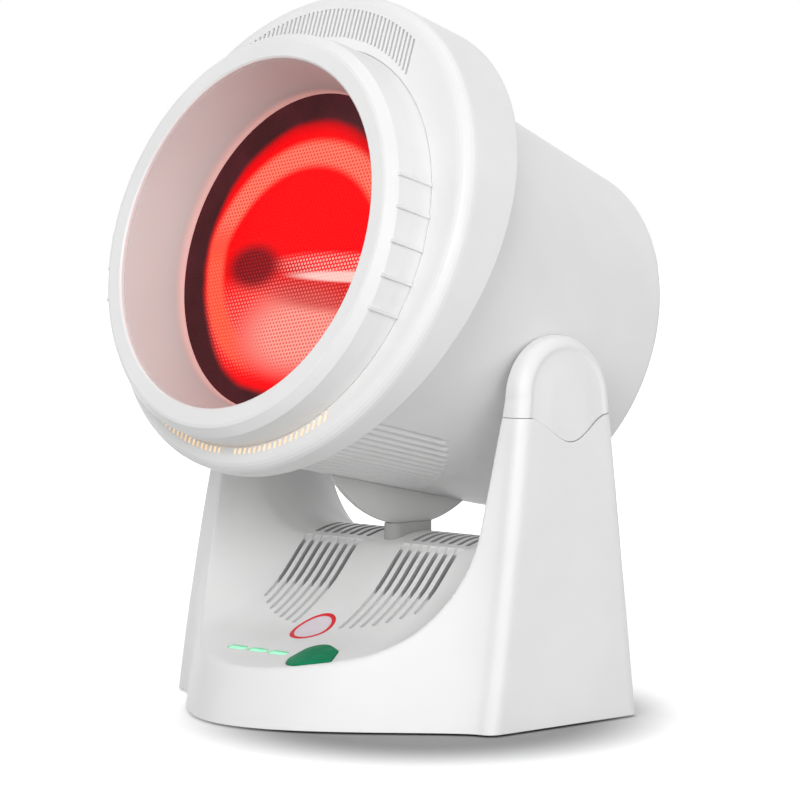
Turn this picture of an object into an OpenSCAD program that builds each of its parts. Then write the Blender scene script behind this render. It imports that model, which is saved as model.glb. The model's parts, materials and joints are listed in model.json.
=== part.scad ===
// Infrared heat therapy lamp: a hooded round head that tilts in a forked base.
// Millimetres. +Z is up, -Y is the front, X runs along the tilt axis.
// The origin is on the floor, under the middle of the whole lamp.

/* [Base] */
// Width over the flat side panels
base_w = 200; // [170:1:230]
// Depth of a side panel where it meets the floor
base_d = 90.5; // [80:0.5:110]
// How far the rounded nose stands in front of the side panels
nose_d = 56; // [40:1:70]
// Distance from the origin to the front corners of the side panels
base_front = 38.1; // [30:0.1:50]
// Wall thickness of the moulded base
base_wall = 2.5; // [1.8:0.1:3.5]
// Height of the ridge between the arms
ridge_z = 76; // [60:1:90]
// Clear width between the inner faces of the arms
arm_gap = 167.2; // [150:0.2:180]
// Radius of the bend from the sunk floor up into each arm
bend_r = 44; // [25:1:55]
// Depth of an arm at the tilt axis
arm_d = 53.6; // [44:0.2:60]
// Rise of the rounded arm end above the tilt axis
arm_rise = 25.6; // [20:0.2:30]

/* [Tilt axis] */
// Height of the tilt axis above the floor
pivot_z = 136.7; // [120:0.1:160]
// Distance of the tilt axis behind the front corners of the base
pivot_in = 51.8; // [40:0.1:60]
// Radius of the trunnion pins
pin_r = 6; // [4:0.1:8]
// Upward tilt of the head as it stands
head_tilt = 18.7; // [0:0.1:30]

/* [Head] */
// Distance of the head's own axis above the tilt axis
head_rise = 42.6; // [35:0.1:50]
// Distance of the front ring's face in front of the tilt axis
head_reach = 93; // [80:0.5:110]
// Radius of the front ring
ring_r = 105; // [90:0.5:120]
// Depth of the ring along the head's axis, at mid height
ring_l = 25.3; // [18:0.1:35]
// Slant of the ring's back edge, deeper at the top
ring_slant = 7.5; // [0:0.5:12]
// Radius of the drum where it leaves the ring
drum_r = 82.7; // [70:0.1:95]
// Radius of the drum at its back
drum_back_r = 77.8; // [60:0.1:90]
// Length of the drum from the ring's face to its back
drum_l = 153; // [120:1:180]
// Moulded wall of the head
head_wall = 2.4; // [1.8:0.1:3.5]

/* [Hood and glass] */
// Inner radius of the hood's mouth
mouth_r = 75.2; // [60:0.1:85]
// Outer radius of the hood's wall
hood_r = 87.5; // [80:0.1:95]
// How far the hood stands in front of the ring's face
hood_l = 21.2; // [12:0.1:35]
// Distance of the hood's axis below the ring's axis
hood_drop = 7.5; // [0:0.1:10]
// Slant of the hood against the ring
hood_slant = 2.8; // [0:0.1:6]
// Radius of the visible glass
glass_r = 69.1; // [55:0.1:75]
// Depth of the glass behind the mouth
glass_in = 31.5; // [20:0.5:45]

/* [Vents] */
// Number of slots in the top of the ring
top_vents = 42; // [20:1:50]
// Number of slots on each side in the bottom of the ring
bottom_vents = 18; // [8:1:22]
// Number of louvres under the drum
louvres = 20; // [8:2:24]
// Number of slots in each half of the base
base_slots = 7; // [4:1:9]

/* [Controls] */
// Length of the push button
button_l = 23; // [16:0.5:25]
// Travel of the push button
button_travel = 1.2; // [0.6:0.1:2]
// Radius of the round inlay
inlay_r = 9.8; // [6:0.1:12]
// Length of one light bar
light_l = 11.3; // [6:0.1:14]

/* [View] */
// Sub-part to draw

/* [Hidden] */
$fn = 96;
eps = 0.01;
gap = 0.2;                  // between fixed neighbours
run = 0.3;                  // between pieces that move past each other
pivot_y = pivot_in - base_front;
shell_z = 1;                // the moulded edge stands clear of the floor on the feet
plate_z = 1.6;
plate_t = 2.4;
side_lean = 5.3;            // how much a side panel has leaned in at the tilt axis
corner_r = 4;
fin_t = 2.4;
fin_r = 59.1;
fin_front = 38;             // front end of the fin, from the head's own downward direction
pad_t = 0.9;
post_l = 25;
post_w = 9;
slot_l = 20;
slot_w = 2.6;
slot_in = 14.7;             // first and last slot of a group, from the middle
slot_out = 47.3;
slot_mid_y = [16.6, 33.4];  // open stretch of the lower slots
slot_top_y = [39, 55];      // slots over the ridge
arm_x = 95.3;               // outside of an arm at the seam
seam_z = pivot_z - 7.8;
seam_dip = 10.8;
panel_y = -30.2;            // row of controls, from the front corners
panel_tilt = 16.6;
button_x = 29;
light_x = [-21, -8.1, 4.8];
white = [0.93, 0.93, 0.93];
grey = [0.5, 0.5, 0.52];
steel = [0.72, 0.73, 0.75];

// ---- shared curves -------------------------------------------------------------------

// Height of the sunk floor, from the lip over the slots and the ridge to the back.
floor_pts = [[-64, 21.2], [-45, 25.2], [-24, 31.2], [-4, 38.2], [16.6, 52.2], [33.4, 70],
             [39.5, 72.8], [49, ridge_z], [60, ridge_z], [75, ridge_z - 5], [96, ridge_z - 24]];
function seg(p, v, i = 0) = i >= len(p) - 2 || v < p[i + 1][0] ? i : seg(p, v, i + 1);
function slope(p, i) = let (a = max(i - 1, 0), b = min(i + 1, len(p) - 1))
    (p[b][1] - p[a][1]) / (p[b][0] - p[a][0]);
function smooth(p, v) = let (
        i = seg(p, v), w = p[i + 1][0] - p[i][0], t = (v - p[i][0]) / w,
        h = 3 * t * t - 2 * t * t * t)
    p[i][1] * (1 - h) + p[i + 1][1] * h
    + w * (slope(p, i) * (t * t * t - 2 * t * t + t) + slope(p, i + 1) * (t * t * t - t * t));
function floor_z(y) = smooth(floor_pts, y);

// Half width, front edge and back edge of the base at a height.
function side_x(z) = base_w / 2 - side_lean * pow(max(z, 0) / pivot_z, 2.4);
function front_y(z) = let (k = z / pivot_z) (pivot_in - arm_d / 2) * (0.87 * k + 0.13 * k * k);
function rear_y(z) = let (k = z / pivot_z)
    base_d - (base_d - pivot_in - arm_d / 2) * (1.5 * k - 0.5 * k * k);
function nose_at(t, z) = nose_d * pow(1 - t * t, 1.8) * (1 - 0.0022 * z - 0.00003 * z * z);
function seam_at(y) = let (v = abs(y - pivot_in) / 24)
    seam_z - (v < 1 ? seam_dip * (0.5 + 0.5 * cos(180 * v)) : 0);
function inner_x(z) = arm_gap / 2 + 0.02 * (z - pivot_z);

// Outline of the base at height z, drawn in by t, anticlockwise from the front left.
function base_outline(z, t) = let (
        x = side_x(z) - t, yf = front_y(z) + t, yr = rear_y(z) - t, r = max(corner_r - t, 1),
        front = [for (i = [-12:12]) let (u = i / 12 * (x - r))
            [u, yf - nose_at(u / (x - r), z) * (nose_d - t) / nose_d]],
        right = [for (a = [30:30:90]) [x - r + r * sin(a), yf + r - r * cos(a)]],
        back = [for (a = [0:30:90]) [x - r + r * cos(a), yr - r + r * sin(a)]],
        rear = [for (i = [3:-1:-3]) [i / 4 * (x - r), yr + 1.5 * (1 - pow(i / 4, 2))]])
    concat(front, right, back, rear,
        [for (i = [len(back) - 1:-1:0]) [-back[i][0], back[i][1]]],
        [for (i = [len(right) - 1:-1:0]) [-right[i][0], right[i][1]]]);

// Skin through rings with the same number of points each.
module loft(rings) {
    n = len(rings[0]);
    m = len(rings);
    polyhedron(points = [for (r = rings) each r], faces = concat(
        [[for (j = [0:n - 1]) j]],
        [[for (j = [n - 1:-1:0]) (m - 1) * n + j]],
        [for (i = [0:m - 2], j = [0:n - 1], h = [0, 1]) let (k = (j + 1) % n, a = i * n, b = a + n)
            h == 0 ? [a + j, b + j, b + k] : [a + j, b + k, a + k]]), convexity = 6);
}

// Solid block of the base up to the arm seam, drawn in by t.
module base_block(t, z0) {
    loft([for (z = concat([z0], [for (h = [10:10:seam_z - 4]) h], [seam_z + 6]))
        [for (p = base_outline(z, t)) [p[0], p[1], z]]]);
}

// Space over the sunk floor and between the arms, grown by t.
module scoop(t) {
    top = pivot_z + 60;
    ys = concat([100], [for (v = [93:-6:51]) v], [47.5, 44, 40.7, 37.5, 34.6, 31.7, 28], [for (v = [23:-6:-67]) v], [-73]);
    loft([for (y = ys)
        let (zf = floor_z(max(min(y, 96), -64)) - t * 1.15, r = bend_r,
             s = [for (a = [0:11.25:90]) let (z = zf + r - r * cos(a))
                 [inner_x(z) + t - r + r * sin(a), z]])
        concat([[-inner_x(top) - t, y, top]],
            [for (i = [len(s) - 1:-1:0]) [-s[i][0], y, s[i][1]]],
            [for (p = s) [p[0], y, p[1]]],
            [[inner_x(top) + t, y, top]])]);
}

// Everything above the wavy seam between the arms and their caps.
module over_seam(lift = 0) {
    translate([-150, 0, 0]) rotate([90, 0, 90]) linear_extrude(300)
        polygon(concat([for (y = [-90:6:24]) [y, seam_z + lift]],
            [for (y = [27:1.5:78]) [y, seam_at(y) + lift]],
            [[130, seam_z + lift], [130, 300], [-90, 300]]));
}

// Strip that follows the sunk floor, from depth a to depth b under it, between two y values.
module floor_band(a, b, y0, y1) {
    ys = [for (i = [0:16]) y0 + (y1 - y0) * i / 16];
    translate([-60, 0, 0]) rotate([90, 0, 90]) linear_extrude(120)
        polygon(concat([for (y = ys) [y, floor_z(y) - b]],
            [for (i = [16:-1:0]) [ys[i], floor_z(ys[i]) - a]]));
}

// ---- frames --------------------------------------------------------------------------

module base_frame() { translate([0, -base_front, 0]) children(); }
module pivot_frame() { translate([0, pivot_y, pivot_z]) children(); }
// In the head's frame Z is the head's axis, forwards, and Y is up; zero is the ring's face.
module head_frame() {
    pivot_frame() rotate([90 - head_tilt, 0, 0]) translate([0, head_rise, head_reach]) children();
}
module in_head() { translate([0, -head_rise, -head_reach]) children(); }
// In the hood's frame zero is the plane of the mouth.
module hood_shift() {
    translate([0, -hood_drop - hood_l * sin(hood_slant), hood_l]) rotate([hood_slant, 0, 0])
        children();
}
// On the sunk floor at the row of controls, with Z square to it.
module panel_frame(x = 0) {
    base_frame() translate([x, panel_y, floor_z(panel_y)]) rotate([panel_tilt, 0, 0]) children();
}
module both_sides() { children(); mirror([1, 0, 0]) children(); }
module side(s) { if (s < 0) mirror([1, 0, 0]) children(); else children(); }
module stadium(l, w, h) {
    for (s = [-1, 1]) translate([s * (l - w) / 2, 0, 0]) cylinder(r = w / 2, h = h);
    translate([-(l - w) / 2, -w / 2, 0]) cube([l - w, w, h]);
}
module ring(r1, r0, h) { difference() {
    cylinder(r = r1, h = h);
    translate([0, 0, -1]) cylinder(r = r0, h = h + 2);
} }

// ---- base ----------------------------------------------------------------------------

foot_at = [[-60, -8], [60, -8], [-78, 80], [78, 80]];
screw_at = [[-93, 26], [93, 26], [-93, 70], [93, 70], [-47, -24], [47, -24]];
function slot_x(k) = slot_in + (slot_out - slot_in) * k / (base_slots - 1);
// The blind ends of the grooves lie on a curve.
function groove_end(x) = -5.2 + 13.7 * pow(x / slot_out, 2.4);

module slot_bar(x, y0, y1, z0, z1, t = 0) {
    hull() for (y = [y0 + slot_w / 2, y1 - slot_w / 2])
        translate([x, y, z0]) cylinder(r = slot_w / 2 - t, h = z1 - z0, $fn = 12);
}
module base_slots_open() {
    both_sides() for (k = [0:base_slots - 1]) {
        slot_bar(slot_x(k), slot_mid_y[0], slot_mid_y[1], 40, 90);
        slot_bar(slot_x(k), slot_top_y[0], slot_top_y[1], 64, 90);
    }
}
module base_grooves() {
    intersection() {
        scoop(0.9);
        both_sides() for (k = [0:base_slots - 1])
            slot_bar(slot_x(k), groove_end(slot_x(k)), slot_mid_y[0] + 2, 20, 90, 0.1);
    }
}
module base_bosses() {
    for (p = screw_at) let (h = p[1] < 0 ? 60 : 24) {
        translate([p[0], p[1], 4.2]) cylinder(r = 4.2, h = h, $fn = 24);
        if (p[1] > 0) side(sign(p[0])) translate([abs(p[0]), p[1] - 1.2, 4.2]) cube([6, 2.4, h]);
    }
}
module base_shell() color(white) base_frame() difference() {
    base_block(0, shell_z);
    scoop(0);
    over_seam(-0.1);
    difference() {
        base_block(base_wall, -1);
        scoop(base_wall);
        base_bosses();
    }
    for (p = screw_at) translate([p[0], p[1], 0]) cylinder(r = 1.4, h = 22, $fn = 16);
    base_slots_open();
    base_grooves();
    translate([0, pivot_in - 2, 55]) rotate([0, 0, 90]) stadium(post_l + 2 * gap, post_w + 2 * gap, 40);
    translate([0, base_front, 0]) {
        panel_frame(button_x) translate([0, 0, -7]) linear_extrude(13) button_outline(run + 0.05);
        for (x = light_x) panel_frame(x) translate([0, 0, -6]) light_prism(gap, 12);
    }
    inlay_pocket();
    translate([-60, base_d - 8, 16]) rotate([-90, 0, 0]) cylinder(r = 6.2, h = 20, $fn = 32);
}
module inlay_pocket() {
    intersection() {
        translate([0, -6.2, 20]) cylinder(r = inlay_r + 0.1, h = 40, $fn = 48);
        floor_band(-4, 0.6, -18, 6);
    }
}

module plate_outline(t) { polygon(base_outline(plate_z, t)); }
module base_plate() color([0.86, 0.86, 0.86]) base_frame() difference() {
    union() {
        translate([0, 0, plate_z]) linear_extrude(plate_t) plate_outline(base_wall + 0.5);
        for (x = [-38, 38], y = [8, 56]) translate([x, y, plate_z]) cylinder(r = 3.5, h = 6.4);
        for (x = [-30, 30]) translate([x, -22, plate_z]) cylinder(r = 3.5, h = 6.4);
    }
    for (p = screw_at) translate([p[0], p[1], 0]) cylinder(r = 1.8, h = 9);
    for (p = screw_at) translate([p[0], p[1], 0]) cylinder(r = 3.1, h = plate_z + 1.2);
    for (p = foot_at) translate([p[0], p[1], 0]) cylinder(r = 6.2, h = plate_z + 0.8);
    for (s = [-1, 1], d = [-9, 9]) translate([s * 76, pivot_in + d, 0]) cylinder(r = 1.6, h = 9);
    for (s = [-1, 1], k = [-4:4]) translate([s * 22 - 14, 30 + k * 5, 0]) cube([28, 2.2, 9]);
}
module foot(i) color([0.16, 0.16, 0.17]) base_frame() translate([foot_at[i][0], foot_at[i][1], 0])
    rotate_extrude() polygon([[0, 0], [5.2, 0], [6, 0.8], [6, plate_z + 0.8], [0, plate_z + 0.8]]);
module foot_front_left() foot(0);
module foot_front_right() foot(1);
module foot_rear_left() foot(2);
module foot_rear_right() foot(3);
module screw(r_head, h_head, r, l) {
    difference() {
        cylinder(r = r_head, h = h_head);
        for (a = [0, 90]) rotate([0, 0, a]) translate([-r_head * 0.55, -0.4, -1])
            cube([r_head * 1.1, 0.8, 1 + h_head * 0.6]);
    }
    translate([0, 0, h_head - eps]) cylinder(r = r, h = l);
}
module plate_screws() color(steel) base_frame() for (p = screw_at)
    translate([p[0], p[1], plate_z - 0.6]) screw(2.8, 1.7, 1.35, 14);

// ---- arms ----------------------------------------------------------------------------

// Side view of an arm's rounded end, drawn in by t; drawn about the tilt axis.
module arm_profile(t) {
    intersection() {
        scale([arm_d / 2 - t, arm_rise - t]) circle(r = 1, $fn = 72);
        translate([-60, 0]) square([120, 60]);
    }
    polygon([[-(arm_d / 2 - t), eps], [arm_d / 2 - t, eps],
        [rear_y(seam_z - 14) - pivot_in - t, seam_z - 14 - pivot_z],
        [front_y(seam_z - 14) - pivot_in + t, seam_z - 14 - pivot_z]]);
}
module arm_slice(x, lean, t) {
    translate([x, 0, seam_z - pivot_z]) rotate([0, lean, 0]) translate([0, 0, pivot_z - seam_z])
        rotate([90, 0, 90]) linear_extrude(0.1) arm_profile(t);
}
module arm_end(t) {
    hull() {
        arm_slice(inner_x(seam_z) + t, 1.1, t + 0.8);
        arm_slice(inner_x(seam_z) + t + 0.8, 1.1, t);
        arm_slice(arm_x - 3.6 - t, -4, t);
        arm_slice(arm_x - 1.2 - t, -4, t + 1);
        arm_slice(arm_x - 0.1 - t, -4, t + 3.4);
    }
}
module arm_cap(s) color(white) side(s) difference() {
    intersection() {
        pivot_frame() arm_end(0);
        base_frame() over_seam(0.1);
    }
    pivot_frame() intersection() {
        arm_end(2.2);
        translate([60, -60, -60]) cube([60, 120, 120]);
    }
    pivot_frame() rotate([0, 90, 0]) cylinder(r = pin_r + 1.2, h = 88);
}
module arm_cap_left() arm_cap(-1);
module arm_cap_right() arm_cap(1);

bracket_x = 87.4;
bracket_t = 2.4;
module yoke_bracket(s) color(steel) side(s) difference() {
    union() {
        pivot_frame() translate([bracket_x, 0, 0]) rotate([0, 90, 0]) cylinder(r = 14, h = bracket_t);
        translate([bracket_x, pivot_y - 14, plate_z + plate_t + 0.1])
            cube([bracket_t, 28, pivot_z - plate_z - plate_t - 0.1]);
        translate([68, pivot_y - 14, plate_z + plate_t + 0.1])
            cube([bracket_x + bracket_t - 68, 28, 2.4]);
    }
    pivot_frame() translate([60, 0, 0]) rotate([0, 90, 0]) cylinder(r = pin_r + 1.5, h = 60);
    for (z = [36, 66, 96]) translate([bracket_x - 1, pivot_y, z]) rotate([0, 90, 0])
        cylinder(r = 7, h = bracket_t + 2);
    for (d = [-9, 9]) translate([76, pivot_y + d, 0]) cylinder(r = 1.6, h = 12);
}
module yoke_bracket_left() yoke_bracket(-1);
module yoke_bracket_right() yoke_bracket(1);
module bracket_screws() color(steel) for (s = [-1, 1], d = [-9, 9])
    translate([s * 76, pivot_y + d, plate_z + plate_t + 2.5 + 2]) rotate([180, 0, 0])
        screw(3, 2, 1.5, 4.6);
module pivot_bush(s) color([0.9, 0.88, 0.8]) side(s) pivot_frame() rotate([0, 90, 0]) difference() {
    union() {
        translate([0, 0, bracket_x - 0.1]) cylinder(r = pin_r + 1.45, h = bracket_t + 0.6);
        translate([0, 0, bracket_x + bracket_t + 0.1]) cylinder(r = 9, h = 0.9);
    }
    cylinder(r = pin_r + 0.05, h = 120);
}
module pivot_bush_left() pivot_bush(-1);
module pivot_bush_right() pivot_bush(1);

// ---- guide for the fin ---------------------------------------------------------------

post_top = pivot_z - fin_r + 1.3;
module guide_post() color(grey) base_frame() translate([0, pivot_in - 2, 0]) difference() {
    union() {
        translate([0, 0, 58]) rotate([0, 0, 90]) stadium(post_l, post_w, post_top - 58);
        translate([0, 0, 58]) rotate([0, 0, 90]) stadium(post_l + 7, post_w + 7, 3);
    }
    translate([-fin_t / 2 - pad_t - gap, -slot_l / 2, post_top - 6])
        cube([fin_t + 2 * pad_t + 2 * gap, slot_l, 10]);
    translate([-fin_t / 2 - run, 2, pivot_z]) rotate([0, 90, 0])
        cylinder(r = fin_r + run, h = fin_t + 2 * run, $fn = 160);
}
module friction_pad(s) color([0.2, 0.2, 0.21]) base_frame()
    translate([s * (fin_t + pad_t + 0.3) / 2 - pad_t / 2, pivot_in - 2 - 8, post_top - 5.9])
        cube([pad_t, 16, 5.4]);
module friction_pad_left() friction_pad(-1);
module friction_pad_right() friction_pad(1);

// ---- controls ------------------------------------------------------------------------

module inlay(r1, r0) {
    base_frame() intersection() {
        translate([0, -6.2, 20]) difference() {
            cylinder(r = r1, h = 40);
            if (r0 > 0) translate([0, 0, -1]) cylinder(r = r0, h = 42);
        }
        floor_band(0, 0.55, -18, 6);
    }
}
module inlay_ring() color([0.8, 0.1, 0.12]) inlay(inlay_r, inlay_r - 2.3);
module inlay_disc() color([0.95, 0.95, 0.95]) inlay(inlay_r - 2.35, 0);

module light_prism(t, h) { stadium(light_l + 2 * t, 3.6 + 2 * t, h); }
module light_bar(i) color([0.3, 1, 0.6]) panel_frame(light_x[i])
    translate([0, 0, -12.3]) light_prism(0, 11.9);
module light_bar_left() light_bar(0);
module light_bar_middle() light_bar(1);
module light_bar_right() light_bar(2);

// Plump leaf shape of the button with its tip at the right, grown by t.
module button_outline(t) {
    k = button_l / 23;
    hull() for (c = [[-7, -0.8, 5.2], [-2, 0.2, 7.1], [2.2, 0.9, 6.3], [9.3, -2.4, 0.9]])
        translate([c[0] * k, c[1] * k]) circle(r = max(c[2] * k + t, 0.1), $fn = 40);
}
module push_button() color([0, 0.5, 0.34]) panel_frame(button_x) {
    hull() {
        translate([0, 0, -5]) linear_extrude(6.4) button_outline(0);
        translate([0, 0, 2.4]) linear_extrude(0.1) button_outline(-0.7);
        translate([0, 0, 3.2]) linear_extrude(0.1) button_outline(-2);
    }
    intersection() {
        translate([0, 0, -5]) linear_extrude(1.4) button_outline(1.4);
        translate([-14, -2, -6]) cube([14, 12, 4]);
    }
    translate([0, 0, -8]) cylinder(r = 2, h = 4);
}
module button_switch() color([0.15, 0.15, 0.16]) panel_frame(button_x) {
    translate([-3, -3, -12.4]) cube([6, 6, 2.6]);
    translate([0, 0, -9.9]) cylinder(r = 1.6, h = 0.6);
}
module control_board() color([0.1, 0.35, 0.2]) panel_frame() difference() {
    translate([-31, -5, -14.1]) cube([68, 14, 1.6]);
    for (x = [-28, 34]) translate([x, 6, -20]) cylinder(r = 1.3, h = 10);
}

// ---- electrical parts in the base ----------------------------------------------------

board_z = plate_z + 6.5;
module power_board() color([0.12, 0.36, 0.2]) base_frame() difference() {
    translate([-44, 2, board_z]) cube([88, 60, 1.6]);
    for (x = [-38, 38], y = [8, 56]) translate([x, y, 0]) cylinder(r = 1.6, h = 20);
}
module on_board(x, y) { base_frame() translate([x, y, board_z + 1.7]) children(); }
module relay() color([0.15, 0.25, 0.5]) on_board(-32, 18) cube([19, 15.5, 15.3]);
module capacitor() color([0.75, 0.6, 0.2]) on_board(26, 42) cylinder(r = 6.5, h = 17);
module heat_sink() color(steel) on_board(-8, 34) {
    cube([22, 3, 22]);
    for (k = [0:5]) translate([k * 4.08, 2.9, 0]) cube([1.6, 11, 22]);
}
module terminal_block() color([0.2, 0.45, 0.3]) on_board(14, 8) difference() {
    cube([24, 12, 13]);
    for (k = [0:2]) translate([4.4 + k * 7.6, 6, 6]) cylinder(r = 2.2, h = 8);
    for (k = [0:2]) translate([4.4 + k * 7.6, -1, 4]) rotate([-90, 0, 0]) cylinder(r = 1.8, h = 7);
}
module cord_gland() color([0.14, 0.14, 0.15]) base_frame()
    translate([-60, base_d - 0.6, 16]) rotate([-90, 0, 0]) difference() {
        union() {
            translate([0, 0, -8]) cylinder(r = 6, h = 12);
            translate([0, 0, 1.2]) cylinder(r = 8, h = 2.4);
            translate([0, 0, 3.4]) cylinder(r1 = 6.4, r2 = 4.8, h = 4);
        }
        translate([0, 0, -20]) cylinder(r = 3.2, h = 40);
    }

// ---- head ----------------------------------------------------------------------------

function drum_at(z) = drum_r + (drum_back_r - drum_r) * (-z - ring_l) / (drum_l - ring_l);
// Drum surface as a cone, grown by t, for fitting other parts to it.
module drum_cone(t, z0, z1) {
    translate([0, 0, z0]) cylinder(r1 = drum_at(z0) + t, r2 = drum_at(z1) + t, h = z1 - z0);
}
module behind_ring(d) {
    translate([0, 0, -ring_l + d]) rotate([-ring_slant, 0, 0])
        translate([-160, -160, -160]) cube([320, 320, 160]);
}
ring_fillet = 6;
module ring_solid(t) {
    rotate_extrude($fn = 144) polygon(concat(
        [[0, -60], [ring_r - t, -60]],
        [for (a = [0:15:90]) [ring_r - ring_fillet + (ring_fillet - t) * cos(a),
            -ring_fillet + (ring_fillet - t) * sin(a)]],
        [[0, -t]]));
}
hood_tail = 6.5;            // end of the hood behind the ring's face
ring_boss = 96;
module top_vent_bars() {
    p = 105 / (top_vents - 1);
    for (k = [0:top_vents - 1]) let (x = -52.5 + p * k, y0 = sqrt(84.8 * 84.8 - x * x),
        y1 = sqrt(97.4 * 97.4 - x * x)) translate([x - 0.6, y0, -6]) cube([1.2, y1 - y0, 8]);
}
module bottom_vent_bars() {
    p = 49.5 / (bottom_vents - 1);
    for (s = [-1, 1], k = [0:bottom_vents - 1]) let (x = s * (5 + p * k),
        y0 = hood_drop + sqrt(pow(hood_r + 0.9, 2) - x * x), y1 = sqrt(98.4 * 98.4 - x * x))
        translate([x - 0.75, -y1, -6]) cube([1.5, y1 - y0, 8]);
}
module front_ring() color(white) head_frame() difference() {
    union() {
        difference() {
            ring_solid(0);
            behind_ring(0);
            ring_solid(head_wall);
        }
        difference() {
            intersection() {
                ring_solid(head_wall - eps);
                behind_ring(head_wall);
            }
            behind_ring(0);
            drum_cone(0.25, -70, 10);
            belly(-0.25);
        }
        for (a = [45:90:315]) rotate([0, 0, a]) translate([ring_boss, 0, 2 - hood_tail])
            cylinder(r = 3.6, h = 4);
    }
    hood_shift() translate([0, 0, -60]) cylinder(r = hood_r + gap, h = 80);
    top_vent_bars();
    bottom_vent_bars();
}

rib_angles = [17, 8, -1.3, -10.6, -19.8];
module hood_skin() hood_shift() {
    rotate_extrude($fn = 144) polygon([
        [mouth_r, -2.4], [mouth_r, -0.8], [mouth_r + 0.8, 0], [82.3, 0], [83.6, -0.4],
        [hood_r - 1.6, -3.2], [hood_r - 0.6, -4.6], [hood_r, -12], [hood_r, -40],
        [hood_r - 2.4, -40], [hood_r - 2.4, -12], [hood_r - 3.2, -5.6], [82, -2.4]]);
    for (s = [-1, 1], a = rib_angles) rotate([0, 0, s > 0 ? a : 180 - a])
        translate([hood_r - 1, -0.7, -30]) cube([1.9, 1.4, 26]);
}
// The hood stops inside the ring, on tabs that meet the ring's bosses.
module hood() color(white) head_frame() {
    difference() {
        hood_skin();
        translate([-120, -120, -60]) cube([240, 240, 60 - hood_tail]);
        difference() {
            translate([0, 0, -20]) cylinder(r = 120, h = 20 + gap);
            hood_shift() translate([0, 0, -60]) cylinder(r = hood_r, h = 80);
        }
    }
    difference() {
        for (a = [45:90:315]) rotate([0, 0, a]) translate([ring_boss, 0, -hood_tail]) difference() {
            translate([-16, -5, 0]) cube([20, 10, 1.9]);
            translate([0, 0, -1]) cylinder(r = 1.6, h = 4);
        }
        hood_shift() translate([0, 0, -60]) cylinder(r = hood_r - 1.2, h = 80);
    }
}
module hood_liner() color([0.85, 0.8, 0.8]) head_frame() hood_shift()
    rotate_extrude($fn = 144) polygon([
        [mouth_r - 0.2, -2.5], [glass_r, -glass_in], [glass_r + 1.6, -glass_in],
        [mouth_r + 1.2, -4.2], [81.6, -4.2], [81.6, -2.5]]);
module glass_filter() color([0.75, 0.02, 0.02]) head_frame() hood_shift()
    rotate_extrude($fn = 144) polygon(concat(
        [for (i = [0:8]) let (r = i / 8 * (glass_r + 2)) [r, 0.6 - glass_in - 0.8 * pow(i / 8, 2)]],
        [for (i = [8:-1:0]) let (r = i / 8 * (glass_r + 2)) [r, -3.4 - glass_in - 0.8 * pow(i / 8, 2)]]));
module glass_gasket() color([0.12, 0.05, 0.05]) head_frame() hood_shift() {
    translate([0, 0, -glass_in - 6]) ring(glass_r + 3.2, glass_r - 1, 1.6);
    translate([0, 0, -glass_in - 6]) ring(glass_r + 3.2, glass_r + 2.1, 5.8);
}
module glass_frame() color(steel) head_frame() hood_shift() {
    translate([0, 0, -glass_in - 7.4]) ring(glass_r + 4.6, glass_r - 3, 1.2);
    translate([0, 0, -glass_in - 7.4]) ring(glass_r + 4.6, glass_r + 3.6, 4);
}
reflector_z = -39.3;
function bowl_z(r) = reflector_z - 36 + 36 * pow((r - 16) / 50, 1.8);
module reflector() color([0.85, 0.85, 0.86]) head_frame() hood_shift() difference() {
    rotate_extrude($fn = 96) polygon(concat(
        [for (r = [16:5:66]) [r, bowl_z(r)]], [[70, reflector_z], [70, reflector_z - 0.9]],
        [for (r = [66:-5:16]) [r + 0.4, bowl_z(r) - 0.9]]));
    both_sides() translate([holder_x - run, -7 - run, -100]) cube([11 + 2 * run, 14 + 2 * run, 58]);
}
tube_z = -60;
holder_x = 34;
module halogen_tube() color([0.95, 0.85, 0.8]) head_frame() hood_shift()
    translate([0, 0, tube_z]) rotate([0, 90, 0]) {
        translate([0, 0, -34]) ring(5, 4, 68);
        translate([0, 0, -34]) cylinder(r = 0.9, h = 68);
        for (s = [-1, 1]) translate([0, 0, s * 36.5 - 3]) cylinder(r = 5, h = 6);
    }
module tube_holder(s) color([0.9, 0.9, 0.86]) head_frame() hood_shift() side(s) difference() {
    translate([holder_x, -7, tube_z - 26]) cube([11, 14, 33]);
    translate([20, 0, tube_z]) rotate([0, 90, 0]) cylinder(r = 5.2, h = 20);
}
module tube_holder_left() tube_holder(-1);
module tube_holder_right() tube_holder(1);

drum_fillet = 12;
// Flatter bulge with the louvres under the drum, drawn in by t.
module belly(t) {
    translate([0, -32.3, -43.6]) rotate([7.4, 0, 0]) {
        translate([0, 0, -91]) cylinder(r = 60 - t, h = 126);
        translate([0, 0, -105]) cylinder(r1 = 53 - t, r2 = 60 - t, h = 14 + eps);
    }
}
module drum_solid(t) {
    belly(t);
    rotate_extrude($fn = 144) polygon(concat(
        [[0, -4], [drum_at(-4) - t, -4]],
        [for (a = [0:-10:-90]) [drum_back_r + 0.4 - drum_fillet + (drum_fillet - t) * cos(a),
            -drum_l + drum_fillet + (drum_fillet - t) * sin(a)]],
        [[60, -drum_l + t - 0.3], [0, -drum_l - 1.2 + t]]));
}
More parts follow.
